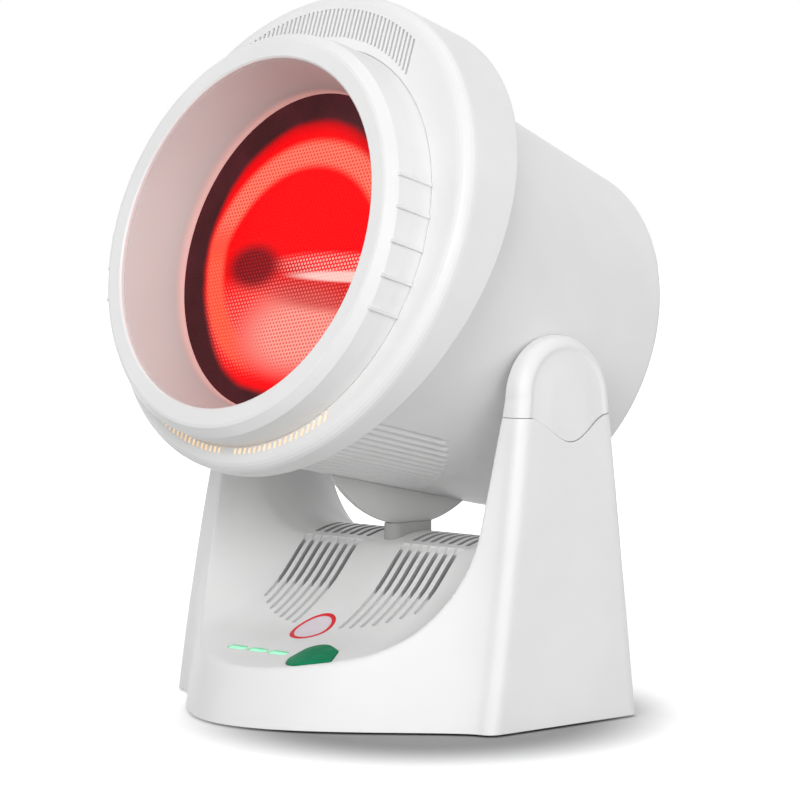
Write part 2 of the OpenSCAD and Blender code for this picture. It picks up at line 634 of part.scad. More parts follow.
// Back end of a louvre at an angle from straight down.
function louvre_end(a) = -38 - 74 * sqrt(max(0, 1 - pow(a / 38.5, 2)));
module drum_housing() color(white) head_frame() difference() {
    drum_solid(0);
    drum_solid(head_wall);
    translate([-100, -100, -hood_tail - 0.5]) cube([200, 200, 30]);
    for (k = [0:louvres - 1]) let (a = (k - (louvres - 1) / 2) * 3.3, z1 = louvre_end(a))
        rotate([0, 0, a]) translate([-1.2, -98, z1]) cube([2.4, 24, -34 - z1]);
    translate([0, 0, -drum_l - 4]) cylinder(r = 46.2, h = 10);
    for (a = [45:90:315]) rotate([0, 0, a]) translate([54, 0, -drum_l - 4]) cylinder(r = 1.9, h = 10);
}
module drum_screws() color(steel) head_frame() for (a = [45:90:315])
    rotate([0, 0, a]) translate([54, 0, -drum_l - 2.6]) screw(3.4, 2, 1.7, 8);
module rear_grille() color([0.88, 0.88, 0.88]) head_frame() translate([0, 0, -drum_l - 0.8])
    difference() {
        cylinder(r = 46, h = 2.6);
        for (r = [14:8:38], a = [0:60:300]) rotate([0, 0, a + r * 2])
            translate([0, 0, -1]) intersection() {
                ring(r + 2, r - 2, 5);
                rotate([0, 0, -24]) cube([60, 60, 5]);
                rotate([0, 0, -66]) cube([60, 60, 5]);
            }
    }
module heat_shield() color(steel) head_frame() {
    translate([0, 0, -138]) ring(72, 71, 84);
    for (a = [45:90:315]) rotate([0, 0, a]) translate([71.6, -6, -132]) cube([4.3, 12, 8]);
}
module thermal_cutout() color([0.2, 0.2, 0.2]) head_frame() hood_shift()
    translate([0, 30, -88]) cylinder(r = 8, h = 12);

// ---- moving joint between head and base ----------------------------------------------

module guide_fin() color([0.8, 0.8, 0.8]) head_frame() difference() {
    in_head() translate([-fin_t / 2, 0, 0]) rotate([90, 0, 90]) linear_extrude(fin_t) fin_profile();
    drum_cone(0.2, -170, 10);
    belly(-0.2);
}
// In the plane of the head's Y and Z about the tilt axis.
module fin_profile() {
    intersection() {
        circle(r = fin_r, $fn = 160);
        polygon([[0, 0], [-150 * cos(fin_front), 150 * sin(fin_front)], [-150, -150], [10, -150]]);
    }
}
module trunnion(s) color([0.85, 0.85, 0.85]) head_frame() side(s) difference() {
    in_head() rotate([0, 90, 0]) {
        translate([0, 0, 50]) cylinder(r = 10.5, h = 31.4);
        translate([0, 0, 80]) cylinder(r = pin_r, h = 11.6);
    }
    drum_cone(0.15, -170, 10);
}
module trunnion_left() trunnion(-1);
module trunnion_right() trunnion(1);
module thrust_washer(s) color([0.25, 0.25, 0.26]) head_frame() side(s) in_head() rotate([0, 90, 0])
    translate([0, 0, 81.6]) ring(9.8, pin_r + 0.4, 1.4);
module thrust_washer_left() thrust_washer(-1);
module thrust_washer_right() thrust_washer(1);

// ---- choice of sub-part --------------------------------------------------------------

base_shell();
base_plate();
foot_front_left();
foot_front_right();
foot_rear_left();
foot_rear_right();
plate_screws();
arm_cap_left();
arm_cap_right();
yoke_bracket_left();
yoke_bracket_right();
bracket_screws();
pivot_bush_left();
pivot_bush_right();
guide_post();
friction_pad_left();
friction_pad_right();
inlay_ring();
inlay_disc();
light_bar_left();
light_bar_middle();
light_bar_right();
control_board();
button_switch();
push_button();
power_board();
relay();
capacitor();
heat_sink();
terminal_block();
cord_gland();
front_ring();
hood();
hood_liner();
glass_filter();
glass_gasket();
glass_frame();
reflector();
halogen_tube();
tube_holder_left();
tube_holder_right();
drum_housing();
drum_screws();
rear_grille();
heat_shield();
thermal_cutout();
guide_fin();
trunnion_left();
trunnion_right();
thrust_washer_left();
thrust_washer_right();
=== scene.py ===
"""Infrared heat therapy lamp: moulded skins, lit glass, finishes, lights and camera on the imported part."""

import json
import logging
import math
from dataclasses import dataclass, field
from enum import Enum
from typing import Any, Callable

import bmesh
import bpy
import numpy as np
from mathutils import Matrix, Vector

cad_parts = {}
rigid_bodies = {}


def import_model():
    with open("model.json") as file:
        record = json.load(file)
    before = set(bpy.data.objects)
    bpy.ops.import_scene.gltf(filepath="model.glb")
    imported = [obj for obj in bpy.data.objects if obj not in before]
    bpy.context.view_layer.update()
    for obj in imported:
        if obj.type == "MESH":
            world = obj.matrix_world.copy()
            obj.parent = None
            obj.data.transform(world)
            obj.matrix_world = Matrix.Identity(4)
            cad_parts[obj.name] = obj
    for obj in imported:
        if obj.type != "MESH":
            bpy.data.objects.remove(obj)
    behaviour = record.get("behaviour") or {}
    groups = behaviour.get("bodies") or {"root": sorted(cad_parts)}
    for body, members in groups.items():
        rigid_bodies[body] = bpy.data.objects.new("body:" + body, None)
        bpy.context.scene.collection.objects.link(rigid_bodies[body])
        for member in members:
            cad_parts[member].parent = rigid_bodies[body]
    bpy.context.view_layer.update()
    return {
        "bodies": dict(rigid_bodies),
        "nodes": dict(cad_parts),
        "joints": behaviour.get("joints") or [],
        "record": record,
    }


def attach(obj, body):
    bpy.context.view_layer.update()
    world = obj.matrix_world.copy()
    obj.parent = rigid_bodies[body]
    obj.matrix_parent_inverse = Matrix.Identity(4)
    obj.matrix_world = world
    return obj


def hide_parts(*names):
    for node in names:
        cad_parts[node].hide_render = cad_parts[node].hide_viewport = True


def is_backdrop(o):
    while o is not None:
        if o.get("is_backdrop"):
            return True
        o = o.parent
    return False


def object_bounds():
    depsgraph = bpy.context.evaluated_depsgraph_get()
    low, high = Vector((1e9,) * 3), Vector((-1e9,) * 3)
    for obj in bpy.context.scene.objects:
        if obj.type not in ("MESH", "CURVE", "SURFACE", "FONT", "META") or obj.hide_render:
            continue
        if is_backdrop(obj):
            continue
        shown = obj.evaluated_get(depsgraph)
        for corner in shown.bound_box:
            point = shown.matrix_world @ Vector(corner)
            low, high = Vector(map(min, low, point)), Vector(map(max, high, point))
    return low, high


Colour = tuple[float, float, float]
Point = tuple[float, float, float]
Array = np.ndarray
Socket = bpy.types.NodeSocket

MM = 0.001
BASE_FRONT = 38.1
PIVOT_IN = 51.8
PIVOT_Z = 136.7
log = logging.getLogger("lamp")


# ---- places --------------------------------------------------------------------------


@dataclass(frozen=True)
class Place:
    """A local frame: an origin in millimetres and a turn about the lamp's X axis in degrees."""

    origin: Point
    turn: float = 0.0

    def matrix(self) -> Matrix:
        """Return the frame as a matrix in metres."""
        shift = Matrix.Translation(Vector(self.origin) * MM)
        return shift @ Matrix.Rotation(math.radians(self.turn), 4, "X")


LAMP = Place((0.0, 0.0, 0.0))
RING = Place((0.0, -60.73, 206.87), 71.3)
HOOD = Place((0.0, -83.55, 205.58), 74.1)


# ---- node trees ----------------------------------------------------------------------


class Tree:
    """The node tree of one material, with short calls for the nodes that the finishes share."""

    def __init__(self, name: str) -> None:
        """Start a material that has only its shader.

        Args:
            name: Name of the material.
        """
        self.material = bpy.data.materials.new(name)
        self.material.use_nodes = True
        self.nodes = self.material.node_tree.nodes
        self.links = self.material.node_tree.links
        self.shader = self.nodes["Principled BSDF"]

    def put(self, socket: Socket, value: Any) -> None:
        """Link a socket into another one, or write a plain value on it.

        Args:
            socket: Input to fill.
            value: Another node's output, a number or a tuple.
        """
        if isinstance(value, bpy.types.NodeSocket):
            self.links.new(value, socket)
        elif socket.type == "RGBA" and len(value) == 3:
            socket.default_value = (*value, 1.0)
        else:
            socket.default_value = value

    def surface(self, **inputs: Any) -> None:
        """Fill inputs of the shader; underscores in the names stand for spaces."""
        for name, value in inputs.items():
            self.put(self.shader.inputs[name.replace("_", " ")], value)

    def add(self, kind: str, inputs: dict[Any, Any], **settings: Any) -> bpy.types.Node:
        """Add a node.

        Args:
            kind: Node type without its common prefix.
            inputs: Values by input name or number.
            **settings: Properties of the node.

        Returns:
            The new node.
        """
        node = self.nodes.new("ShaderNode" + kind)
        for key, value in settings.items():
            setattr(node, key, value)
        for key, value in inputs.items():
            self.put(node.inputs[key], value)
        return node

    def math(self, what: str, *values: Any) -> Socket:
        """Return the result of a Math node on one to three values."""
        return self.add("Math", dict(enumerate(values)), operation=what).outputs[0]

    def vector(self, what: str, *values: Any) -> Socket:
        """Return the result of a Vector Math node on vectors."""
        return self.add("VectorMath", dict(enumerate(values)), operation=what).outputs[0]

    def length(self, value: Any) -> Socket:
        """Return the length of a vector."""
        return self.add("VectorMath", {0: value}, operation="LENGTH").outputs[1]

    def place(self, frame: Place = LAMP) -> Socket:
        """Return the point on the object in a local frame, in millimetres."""
        coordinates = self.add("TexCoord", {}).outputs["Object"]
        values = {
            "Vector": coordinates,
            "Location": tuple(v * MM for v in frame.origin),
            "Rotation": (math.radians(frame.turn), 0.0, 0.0),
            "Scale": (MM, MM, MM),
        }
        return self.add("Mapping", values, vector_type="TEXTURE").outputs[0]

    def split(self, value: Socket) -> tuple[Socket, Socket, Socket]:
        """Return the three parts of a vector."""
        node = self.add("SeparateXYZ", {0: value})
        return node.outputs[0], node.outputs[1], node.outputs[2]

    def noise(self, place: Socket, size: float, detail: float = 2.0) -> Socket:
        """Return a cloudy value whose blots are about the given size in millimetres."""
        values = {"Vector": place, "Scale": 1.0 / size, "Detail": detail, "Roughness": 0.55}
        return self.add("TexNoise", values).outputs[0]

    def spread(self, value: Socket, low: float, high: float, to: tuple[float, float] = (0.0, 1.0),
               soft: bool = False) -> Socket:
        """Map a value from one range to another, held at both ends.

        Args:
            value: Value to map.
            low: Value that gives the first end.
            high: Value that gives the second end.
            to: The two ends.
            soft: Ease in and out of the ends.

        Returns:
            The mapped value.
        """
        values = {0: value, 1: low, 2: high, 3: to[0], 4: to[1]}
        kind = "SMOOTHSTEP" if soft else "LINEAR"
        return self.add("MapRange", values, interpolation_type=kind).outputs[0]

    def blend_value(self, share: Any, first: Any, second: Any) -> Socket:
        """Return a mix of two numbers."""
        return self.add("Mix", {0: share, 2: first, 3: second}, data_type="FLOAT").outputs[0]

    def blend(self, share: Any, first: Any, second: Any, way: str = "MIX") -> Socket:
        """Return a mix of two colours."""
        values = {0: share, 6: first, 7: second}
        return self.add("Mix", values, data_type="RGBA", blend_type=way).outputs[2]

    def bump(self, height: Socket, depth: float, normal: Socket | None = None) -> Socket:
        """Return a normal raised by a height.

        Args:
            height: Value from 0 to 1.
            depth: Height in millimetres of the value 1.
            normal: Normal to start from.

        Returns:
            The new normal.
        """
        values: dict[Any, Any] = {"Height": height, "Distance": depth * MM, "Strength": 1.0}
        if normal is not None:
            values["Normal"] = normal
        return self.add("Bump", values).outputs[0]

    def edges(self, radius: float) -> tuple[Socket, Socket]:
        """Round the edges in shading.

        Args:
            radius: Radius of the edges in millimetres.

        Returns:
            The rounded normal, and a value that is 1 on edges and 0 on flat stretches.
        """
        rounded = self.add("Bevel", {"Radius": radius * MM}, samples=4).outputs[0]
        plain = self.add("NewGeometry", {}).outputs["Normal"]
        alike = self.add("VectorMath", {0: rounded, 1: plain}, operation="DOT_PRODUCT").outputs[1]
        return rounded, self.spread(alike, 0.99, 0.86)


# ---- finishes ------------------------------------------------------------------------


class Sheen(Enum):
    """How the skin of a moulded piece was finished in the tool."""

    SATIN = 0.36
    MATT = 0.5
    GLOSSY = 0.2


@dataclass(frozen=True)
class Moulded:
    """Injection-moulded plastic: fine spark texture, slow colour drift, edges rubbed smooth."""

    name: str
    colour: Colour
    sheen: Sheen = Sheen.SATIN
    grain: float = 0.006
    grain_size: float = 0.55
    edge: float = 0.4
    drift: float = 0.02

    def dress(self, tree: Tree) -> None:
        """Fill the shader of a tree with this finish.

        Args:
            tree: Tree to fill.
        """
        spot = tree.place()
        cloud = tree.noise(spot, 55.0)
        speckle = tree.noise(spot, 6.0, 3.0)
        fine = tree.noise(spot, self.grain_size, 2.0)
        low = tuple(c * (1 - self.drift) for c in self.colour)
        high = tuple(min(c * (1 + self.drift), 1.0) for c in self.colour)
        drifted = tree.blend(tree.spread(cloud, 0.35, 0.65), low, high)
        rounded, rubbed = tree.edges(self.edge)
        pale = tuple(min(c * 1.06 + 0.01, 1.0) for c in self.colour)
        tone = self.sheen.value
        matt = tree.spread(speckle, 0.3, 0.7, (tone - 0.03, tone + 0.05))
        worn = tree.math("MULTIPLY", rubbed, 0.1)
        tree.surface(
            Base_Color=tree.blend(tree.math("MULTIPLY", rubbed, 0.5), drifted, pale),
            Roughness=tree.math("SUBTRACT", matt, worn),
            IOR=1.47,
            Normal=tree.bump(fine, self.grain, rounded),
        )

    def make(self) -> bpy.types.Material:
        """Return the material of this finish."""
        tree = Tree(self.name)
        self.dress(tree)
        return tree.material


@dataclass(frozen=True)
class WarmRing(Moulded):
    """The ring's plastic, with the lamp's warm light on the walls of its lower slots."""

    glow: Colour = (1.0, 0.62, 0.27)
    strength: float = 0.42

    def dress(self, tree: Tree) -> None:
        """Fill the shader and light the walls of the lower slots.

        Args:
            tree: Tree to fill.
        """
        super().dress(tree)
        x, y, z = tree.split(tree.place(RING))
        out = tree.length(tree.add("CombineXYZ", {0: x, 1: y, 2: 0.0}).outputs[0])
        inside = tree.spread(z, -0.15, -0.5)
        inside = tree.math("MULTIPLY", inside, tree.spread(out, 98.9, 98.5))
        inside = tree.math("MULTIPLY", inside, tree.spread(out, 78.0, 80.0))
        lower = tree.math("MULTIPLY", inside, tree.spread(y, -58.0, -66.0))
        flicker = tree.spread(tree.noise(tree.place(), 9.0), 0.3, 0.7, (0.8, 1.1))
        tree.surface(
            Emission_Color=self.glow,
            Emission_Strength=tree.math("MULTIPLY", tree.math("MULTIPLY", lower, flicker),
                                        self.strength),
        )


@dataclass(frozen=True)
class HoodLining(Moulded):
    """Pale heat-proof lining of the hood, with painted light towards the glass: the filter's red glow
    painted into its colour and emission.
    """

    warm: Colour = (0.84, 0.5, 0.46)

    def dress(self, tree: Tree) -> None:
        """Fill the shader and paint the filter's red glow into the colour and the emission near the glass.

        Args:
            tree: Tree to fill.
        """
        super().dress(tree)
        _, _, z = tree.split(tree.place(HOOD))
        near = tree.spread(z, -24.0, -31.5, soft=True)
        cool = self.plain_colour(tree)
        # Painted light: near the glass the colour turns to the warm tint and the lining glows red, standing
        # in for the filter's light falling on it.
        tree.surface(
            Base_Color=tree.blend(tree.math("MULTIPLY", near, 0.6), cool, self.warm),
            Emission_Color=(1.0, 0.34, 0.29),
            Emission_Strength=tree.math("MULTIPLY", tree.spread(z, -26.5, -31.5, soft=True), 0.3),
        )

    def plain_colour(self, tree: Tree) -> Socket:
        """Return the socket that feeds the plain colour."""
        return tree.shader.inputs["Base Color"].links[0].from_socket


@dataclass(frozen=True)
class SheetMetal:
    """Rolled or plated metal: fine drawn lines, cloudy roughness and small marks."""

    name: str
    colour: Colour
    roughness: float = 0.3
    lines: Point = (0.15, 6.0, 0.15)

    def make(self) -> bpy.types.Material:
        """Return the material of this finish."""
        tree = Tree(self.name)
        spot = tree.place()
        drawn = tree.noise(tree.vector("MULTIPLY", spot, self.lines), 1.4, 4.0)
        cloud = tree.noise(spot, 14.0, 3.0)
        rounded, rubbed = tree.edges(0.25)
        dull = tuple(c * 0.86 for c in self.colour)
        tree.surface(
            Base_Color=tree.blend(tree.spread(cloud, 0.35, 0.7), self.colour, dull),
            Metallic=1.0,
            Roughness=tree.math("SUBTRACT", tree.spread(drawn, 0.25, 0.75,
                                (self.roughness - 0.07, self.roughness + 0.1)),
                                tree.math("MULTIPLY", rubbed, 0.08)),
            Normal=tree.bump(drawn, 0.008, rounded),
        )
        return tree.material


@dataclass(frozen=True)
class Rubber:
    """Soft moulded rubber with a dusty bloom."""

    name: str
    colour: Colour

    def make(self) -> bpy.types.Material:
        """Return the material of this finish."""
        tree = Tree(self.name)
        spot = tree.place()
        bloom = tree.spread(tree.noise(spot, 4.0, 4.0), 0.4, 0.75)
        rounded, _ = tree.edges(0.5)
        pale = tuple(c + 0.035 for c in self.colour)
        tree.surface(
            Base_Color=tree.blend(bloom, self.colour, pale),
            Roughness=tree.spread(bloom, 0.0, 1.0, (0.62, 0.8)),
            Normal=tree.bump(tree.noise(spot, 0.5, 3.0), 0.02, rounded),
        )
        return tree.material


@dataclass(frozen=True)
class Enamel:
    """Thin lacquer in one colour, with a slight orange-peel surface."""

    name: str
    colour: Colour
    roughness: float = 0.24

    def make(self) -> bpy.types.Material:
        """Return the material of this finish."""
        tree = Tree(self.name)
        spot = tree.place()
        cloud = tree.noise(spot, 5.0, 3.0)
        rounded, rubbed = tree.edges(0.25)
        deep = tuple(c * 0.88 for c in self.colour)
        tree.surface(
            Base_Color=tree.blend(tree.spread(cloud, 0.35, 0.65), self.colour, deep),
            Roughness=tree.spread(cloud, 0.3, 0.7, (self.roughness - 0.04, self.roughness + 0.06)),
            Specular_IOR_Level=0.15,
            Normal=tree.bump(tree.noise(spot, 1.6, 1.0), 0.006, rounded),
        )
        return tree.material


@dataclass(frozen=True)
class Printed:
    """Pale enamel disc with a printed border, its colours slightly uneven."""

    name: str
    colour: Colour
    border: Colour
    radius: float = 8.0
    middle: Point = (0.0, -6.2 - BASE_FRONT, 0.0)

    def make(self) -> bpy.types.Material:
        """Return the material of this finish."""
        tree = Tree(self.name)
        spot = tree.place()
        flat = tree.vector("MULTIPLY", tree.vector("SUBTRACT", spot, self.middle), (1.0, 1.0, 0.0))
        cloud = tree.noise(spot, 5.0, 3.0)
        border = tree.spread(tree.length(flat), self.radius - 0.12, self.radius + 0.12)
        pale = tree.blend(tree.spread(cloud, 0.35, 0.65), self.colour,
                          tuple(c * 0.96 for c in self.colour))
        rounded, _ = tree.edges(0.2)
        tree.surface(
            Base_Color=tree.blend(border, pale, self.border),
            Roughness=tree.spread(cloud, 0.3, 0.7, (0.34, 0.44)),
            Specular_IOR_Level=0.3,
            Normal=tree.bump(tree.noise(spot, 1.6, 1.0), 0.006, rounded),
        )
        return tree.material


@dataclass(frozen=True)
class CircuitBoard:
    """Solder-masked board with paler tracks and plated spots."""

    name: str
    colour: Colour
    track: Colour

    def make(self) -> bpy.types.Material:
        """Return the material of this finish."""
        tree = Tree(self.name)
        spot = tree.place()
        cell = tree.add("TexVoronoi", {"Vector": spot, "Scale": 0.22, "Randomness": 0.35},
                        feature="DISTANCE_TO_EDGE", distance="EUCLIDEAN")
        dots = tree.add("TexVoronoi", {"Vector": spot, "Scale": 0.35, "Randomness": 0.3})
        tracks = tree.spread(cell.outputs["Distance"], 0.1, 0.06)
        pads = tree.spread(dots.outputs["Distance"], 0.16, 0.13)
        green = tree.blend(tree.math("MULTIPLY", tracks, 0.6), self.colour, self.track)
        tree.surface(
            Base_Color=tree.blend(pads, green, (0.72, 0.7, 0.62)),
            Metallic=pads,
            Roughness=tree.spread(tree.noise(spot, 3.0), 0.3, 0.7, (0.3, 0.42)),
            Normal=tree.bump(tracks, 0.04),
        )
        return tree.material


@dataclass(frozen=True)
class Ceramic:
    """Unglazed white ceramic of the tube's holders."""

    name: str
    colour: Colour

    def make(self) -> bpy.types.Material:
        """Return the material of this finish."""
        tree = Tree(self.name)
        spot = tree.place()
        specks = tree.spread(tree.noise(spot, 0.8, 3.0), 0.62, 0.72)
        rounded, _ = tree.edges(0.6)
        tree.surface(
            Base_Color=tree.blend(tree.math("MULTIPLY", specks, 0.4), self.colour,
                                  tuple(c * 0.8 for c in self.colour)),
            Roughness=tree.spread(specks, 0.0, 1.0, (0.62, 0.75)),
            Normal=tree.bump(tree.noise(spot, 0.4, 3.0), 0.02, rounded),
        )
        return tree.material


@dataclass(frozen=True)
class TubeGlass:
    """Clear hard glass of the halogen tube, with faint streaks along it."""

    name: str
    tint: Colour

    def make(self) -> bpy.types.Material:
        """Return the material of this finish."""
        tree = Tree(self.name)
        spot = tree.place(HOOD)
        streaks = tree.noise(tree.vector("MULTIPLY", spot, (0.05, 1.0, 1.0)), 1.2, 2.0)
        tree.surface(
            Base_Color=tree.blend(tree.spread(streaks, 0.3, 0.7), self.tint, (1.0, 0.98, 0.95)),
            Transmission_Weight=0.9,
            Roughness=tree.spread(streaks, 0.3, 0.7, (0.03, 0.09)),
            IOR=1.47,
            Normal=tree.bump(streaks, 0.01),
        )
        return tree.material


@dataclass(frozen=True)
class LightWindow:
    """Lit window of an indicator: pale mint core with a saturated green rim."""

    name: str
    centre: Point
    turn: float
    half_length: float = 5.65
    half_width: float = 1.8
    core: Colour = (0.42, 0.93, 0.62)
    rim: Colour = (0.01, 0.66, 0.26)

    def make(self) -> bpy.types.Material:
        """Return the material of this finish."""
        tree = Tree(self.name)
        spot = tree.place(Place(self.centre, self.turn))
        x, y, _ = tree.split(spot)
        along = tree.math("MAXIMUM", tree.math("SUBTRACT", tree.math("ABSOLUTE", x),
                          self.half_length - self.half_width), 0.0)
        away = tree.length(tree.add("CombineXYZ", {0: along, 1: y, 2: 0.0}).outputs[0])
        inner = tree.spread(away, self.half_width, self.half_width - 0.9, soft=True)
        haze = tree.spread(tree.noise(spot, 1.5), 0.3, 0.7, (0.9, 1.1))
        tree.surface(
            Base_Color=tree.blend(inner, (0.0, 0.04, 0.015), (0.02, 0.1, 0.05)),
            Roughness=tree.spread(tree.noise(spot, 0.6), 0.3, 0.7, (0.35, 0.5)),
            Specular_IOR_Level=0.15,
            Emission_Color=tree.blend(inner, self.rim, self.core),
            Emission_Strength=haze,
            Normal=tree.bump(tree.noise(spot, 0.5, 2.0), 0.02),
        )
        return tree.material


@dataclass(frozen=True)
class Blot:
    """Soft ellipse in the glass's plane: its middle, its half axes and the soft share of them."""

    middle: tuple[float, float]
    half: tuple[float, float]
    soft: float

    def draw(self, tree: Tree, flat: Socket) -> Socket:
        """Return a value that is 1 in the ellipse and falls to 0 over its soft edge."""
        moved = tree.vector("SUBTRACT", flat, (*self.middle, 0.0))
        scaled = tree.vector("MULTIPLY", moved, (1 / self.half[0], 1 / self.half[1], 0.0))
        return tree.spread(tree.length(scaled), 1.0 + self.soft, 1.0 - self.soft, soft=True)


Layer = tuple[Socket, float, Colour]


@dataclass(frozen=True)
class FilterGlow:
    """Red filter glass lit from behind: a net of light dots, bright bands and the tube's image.

    Everything is drawn in the glass's own plane, X to the right and Y up, in millimetres.
    """

    name: str
    pitch: float
    turn: float
    edge: float = 57.8
    arc_middle: Point = (3.8, -12.8, 0.0)
    arc_radius: float = 55.6
    left_radius: float = 49.5
    red: Colour = (1.0, 0.0, 0.003)
    maroon: Colour = (0.07, 0.015, 0.02)
    low: Blot = Blot((13.0, -35.0), (31.0, 16.0), 0.5)
    wide: Blot = Blot((-4.0, -32.0), (44.0, 19.0), 0.4)
    holder: Blot = Blot((-24.0, -7.0), (15.0, 9.0), 0.38)
    behind: Blot = Blot((-6.0, -11.0), (22.0, 7.0), 0.5)
    under: Blot = Blot((30.0, -18.5), (36.0, 6.5), 0.4)
    over: Blot = Blot((30.0, -6.0), (36.0, 5.0), 0.4)
    tube: Blot = Blot((42.0, -10.6), (38.0, 2.3), 0.3)

    def dots(self, tree: Tree, spot: Socket) -> Socket:
        """Return the distance in pitches from the nearest point of a three-way lattice."""
        tall = math.sqrt(3.0)
        turned = tree.add("VectorRotate", {"Vector": spot, "Angle": -math.radians(self.turn)},
                          rotation_type="Z_AXIS").outputs[0]
        flat = tree.vector("MULTIPLY", turned, (1 / self.pitch, 1 / self.pitch, 0.0))
        most, least = (0.5, tall / 2, 1.0), (-0.5, -tall / 2, -1.0)
        first = tree.vector("WRAP", flat, most, least)
        shifted = tree.vector("ADD", flat, (0.5, tall / 2, 0.0))
        second = tree.vector("WRAP", shifted, most, least)
        return tree.math("MINIMUM", tree.length(first), tree.length(second))

    def band(self, tree: Tree, out: Socket, radius: float, reach: float, core: float) -> Socket:
        """Return a value that is 1 along a circle and falls to 0 on both sides of it.

        Args:
            tree: Tree to draw in.
            out: Distance from the circle's middle.
            radius: Radius of the circle.
            reach: Distance from the circle at which the value is 0.
            core: Distance from the circle up to which the value is 1.

        Returns:
            The value.
        """
        away = tree.math("ABSOLUTE", tree.math("SUBTRACT", out, radius))
        return tree.spread(away, reach, core, soft=True)

    def lay(self, tree: Tree, colour: Any, layers: list[Layer]) -> Socket:
        """Lay soft colours over a first one.

        Args:
            tree: Tree to draw in.
            colour: The first colour.
            layers: For each layer its form, its strength and its colour.

        Returns:
            The colour of all layers together.
        """
        for form, strength, tint in layers:
            colour = tree.blend(tree.math("MULTIPLY", form, strength), colour, tint)
        return colour

    def light(self, tree: Tree, spot: Socket, flat: Socket) -> tuple[Socket, Socket]:
        """Draw the bands of light.

        Args:
            tree: Tree to draw in.
            spot: Point in the glass's frame.
            flat: The same point with no depth.

        Returns:
            The colour between the dots and the colour of the dots.
        """
        x, y, _ = tree.split(flat)
        wavy = tree.noise(spot, 22.0, 2.0)
        edge = tree.math("ADD", tree.length(flat), tree.spread(wavy, 0.2, 0.8, (-0.6, 0.6)))
        # The bright arc runs from the left over the top to the right.
        off = tree.length(tree.vector("SUBTRACT", flat, self.arc_middle))
        arc = self.band(tree, off, self.arc_radius, 7.8, 3.0)
        arc = tree.math("MULTIPLY", arc, tree.spread(y, -8.0, 16.0, soft=True))
        # The orange band runs down the left side.
        left = self.band(tree, edge, self.left_radius, 7.5, 3.0)
        left = tree.math("MULTIPLY", left, tree.spread(y, 12.0, -8.0, soft=True))
        left = tree.math("MULTIPLY", left, tree.spread(x, -8.0, -34.0, soft=True))
        low, wide, holder, behind, under, over, tube = [
            blot.draw(tree, flat) for blot in (self.low, self.wide, self.holder, self.behind,
                                               self.under, self.over, self.tube)]
        # The upper rim darkens before the dark border begins.
        dusk = tree.math("MULTIPLY", tree.spread(edge, 50.0, 60.0, soft=True),
                         tree.spread(y, 12.0, 42.0, soft=True))
        ground = self.lay(tree, self.red, [
            (wide, 0.35, (0.7, 0.008, 0.01)),
            (arc, 0.9, (1.0, 0.25, 0.17)),
            (left, 0.85, (0.98, 0.1, 0.05)),
            (low, 1.0, (1.0, 0.4, 0.34)),
            (under, 0.8, (0.45, 0.006, 0.01)),
            (behind, 0.6, (0.4, 0.004, 0.008)),
            (holder, 0.98, (0.15, 0.003, 0.007)),
            (tube, 1.0, (1.0, 0.55, 0.5)),
            (dusk, 0.8, (0.2, 0.006, 0.01)),
        ])
        lit = self.lay(tree, self.red, [
            (wide, 0.75, (1.0, 0.3, 0.25)),
            (arc, 1.0, (0.92, 0.075, 0.04)),
            (left, 1.0, (1.0, 0.16, 0.09)),
            (low, 0.9, (0.86, 0.13, 0.1)),
            (over, 0.85, (1.0, 0.5, 0.44)),
            (under, 0.5, (0.9, 0.12, 0.1)),
            (tube, 1.0, (1.0, 0.66, 0.6)),
            (holder, 0.9, (0.3, 0.008, 0.012)),
            (dusk, 0.8, (0.22, 0.006, 0.01)),
        ])
        # The border is narrower below.
        lower = tree.math("ADD", tree.spread(y, -30.0, -58.0, (0.0, 4.0), soft=True),
                          tree.math("MULTIPLY", x, 0.02))
        rim = tree.spread(tree.math("SUBTRACT", edge, lower), self.edge - 3.0, self.edge + 1.5,
                          soft=True)
        shade = tree.blend(tree.spread(wavy, 0.35, 0.65), self.maroon, (0.045, 0.012, 0.014))
        return tree.blend(rim, ground, shade), tree.blend(rim, lit, shade)

    def make(self) -> bpy.types.Material:
        """Return the material of this finish."""
        tree = Tree(self.name)
        spot = tree.place()
        flat = tree.vector("MULTIPLY", spot, (1.0, 1.0, 0.0))
        away = self.dots(tree, spot)
        net = tree.spread(away, 0.4, 0.26, soft=True)
        ground, lit = self.light(tree, spot, flat)
        colour = tree.blend(net, ground, lit)
        haze = tree.noise(spot, 7.0, 2.0)
        tree.surface(
            Base_Color=tree.blend(0.97, colour, (0.012, 0.001, 0.001)),
            Roughness=tree.spread(haze, 0.3, 0.7, (0.2, 0.3)),
            Specular_IOR_Level=0.04,
            Emission_Color=colour,
            Emission_Strength=0.98,
            Normal=tree.bump(net, 0.05),
        )
        return tree.material


# ---- meshes --------------------------------------------------------------------------


def round_max(first: Array, second: Array, radius: float) -> Array:
    """Join two fields as their common inside, with the edge between them rounded.

    Args:
        first: Field of the first form, negative inside.
        second: Field of the second form.
        radius: Radius of the rounded edge in millimetres.

    Returns:
        The joined field.
    """
    inner = np.minimum(np.maximum(first, second), -radius)
    return inner + np.hypot(np.maximum(first + radius, 0.0), np.maximum(second + radius, 0.0))


Field = Callable[[Array], Array]


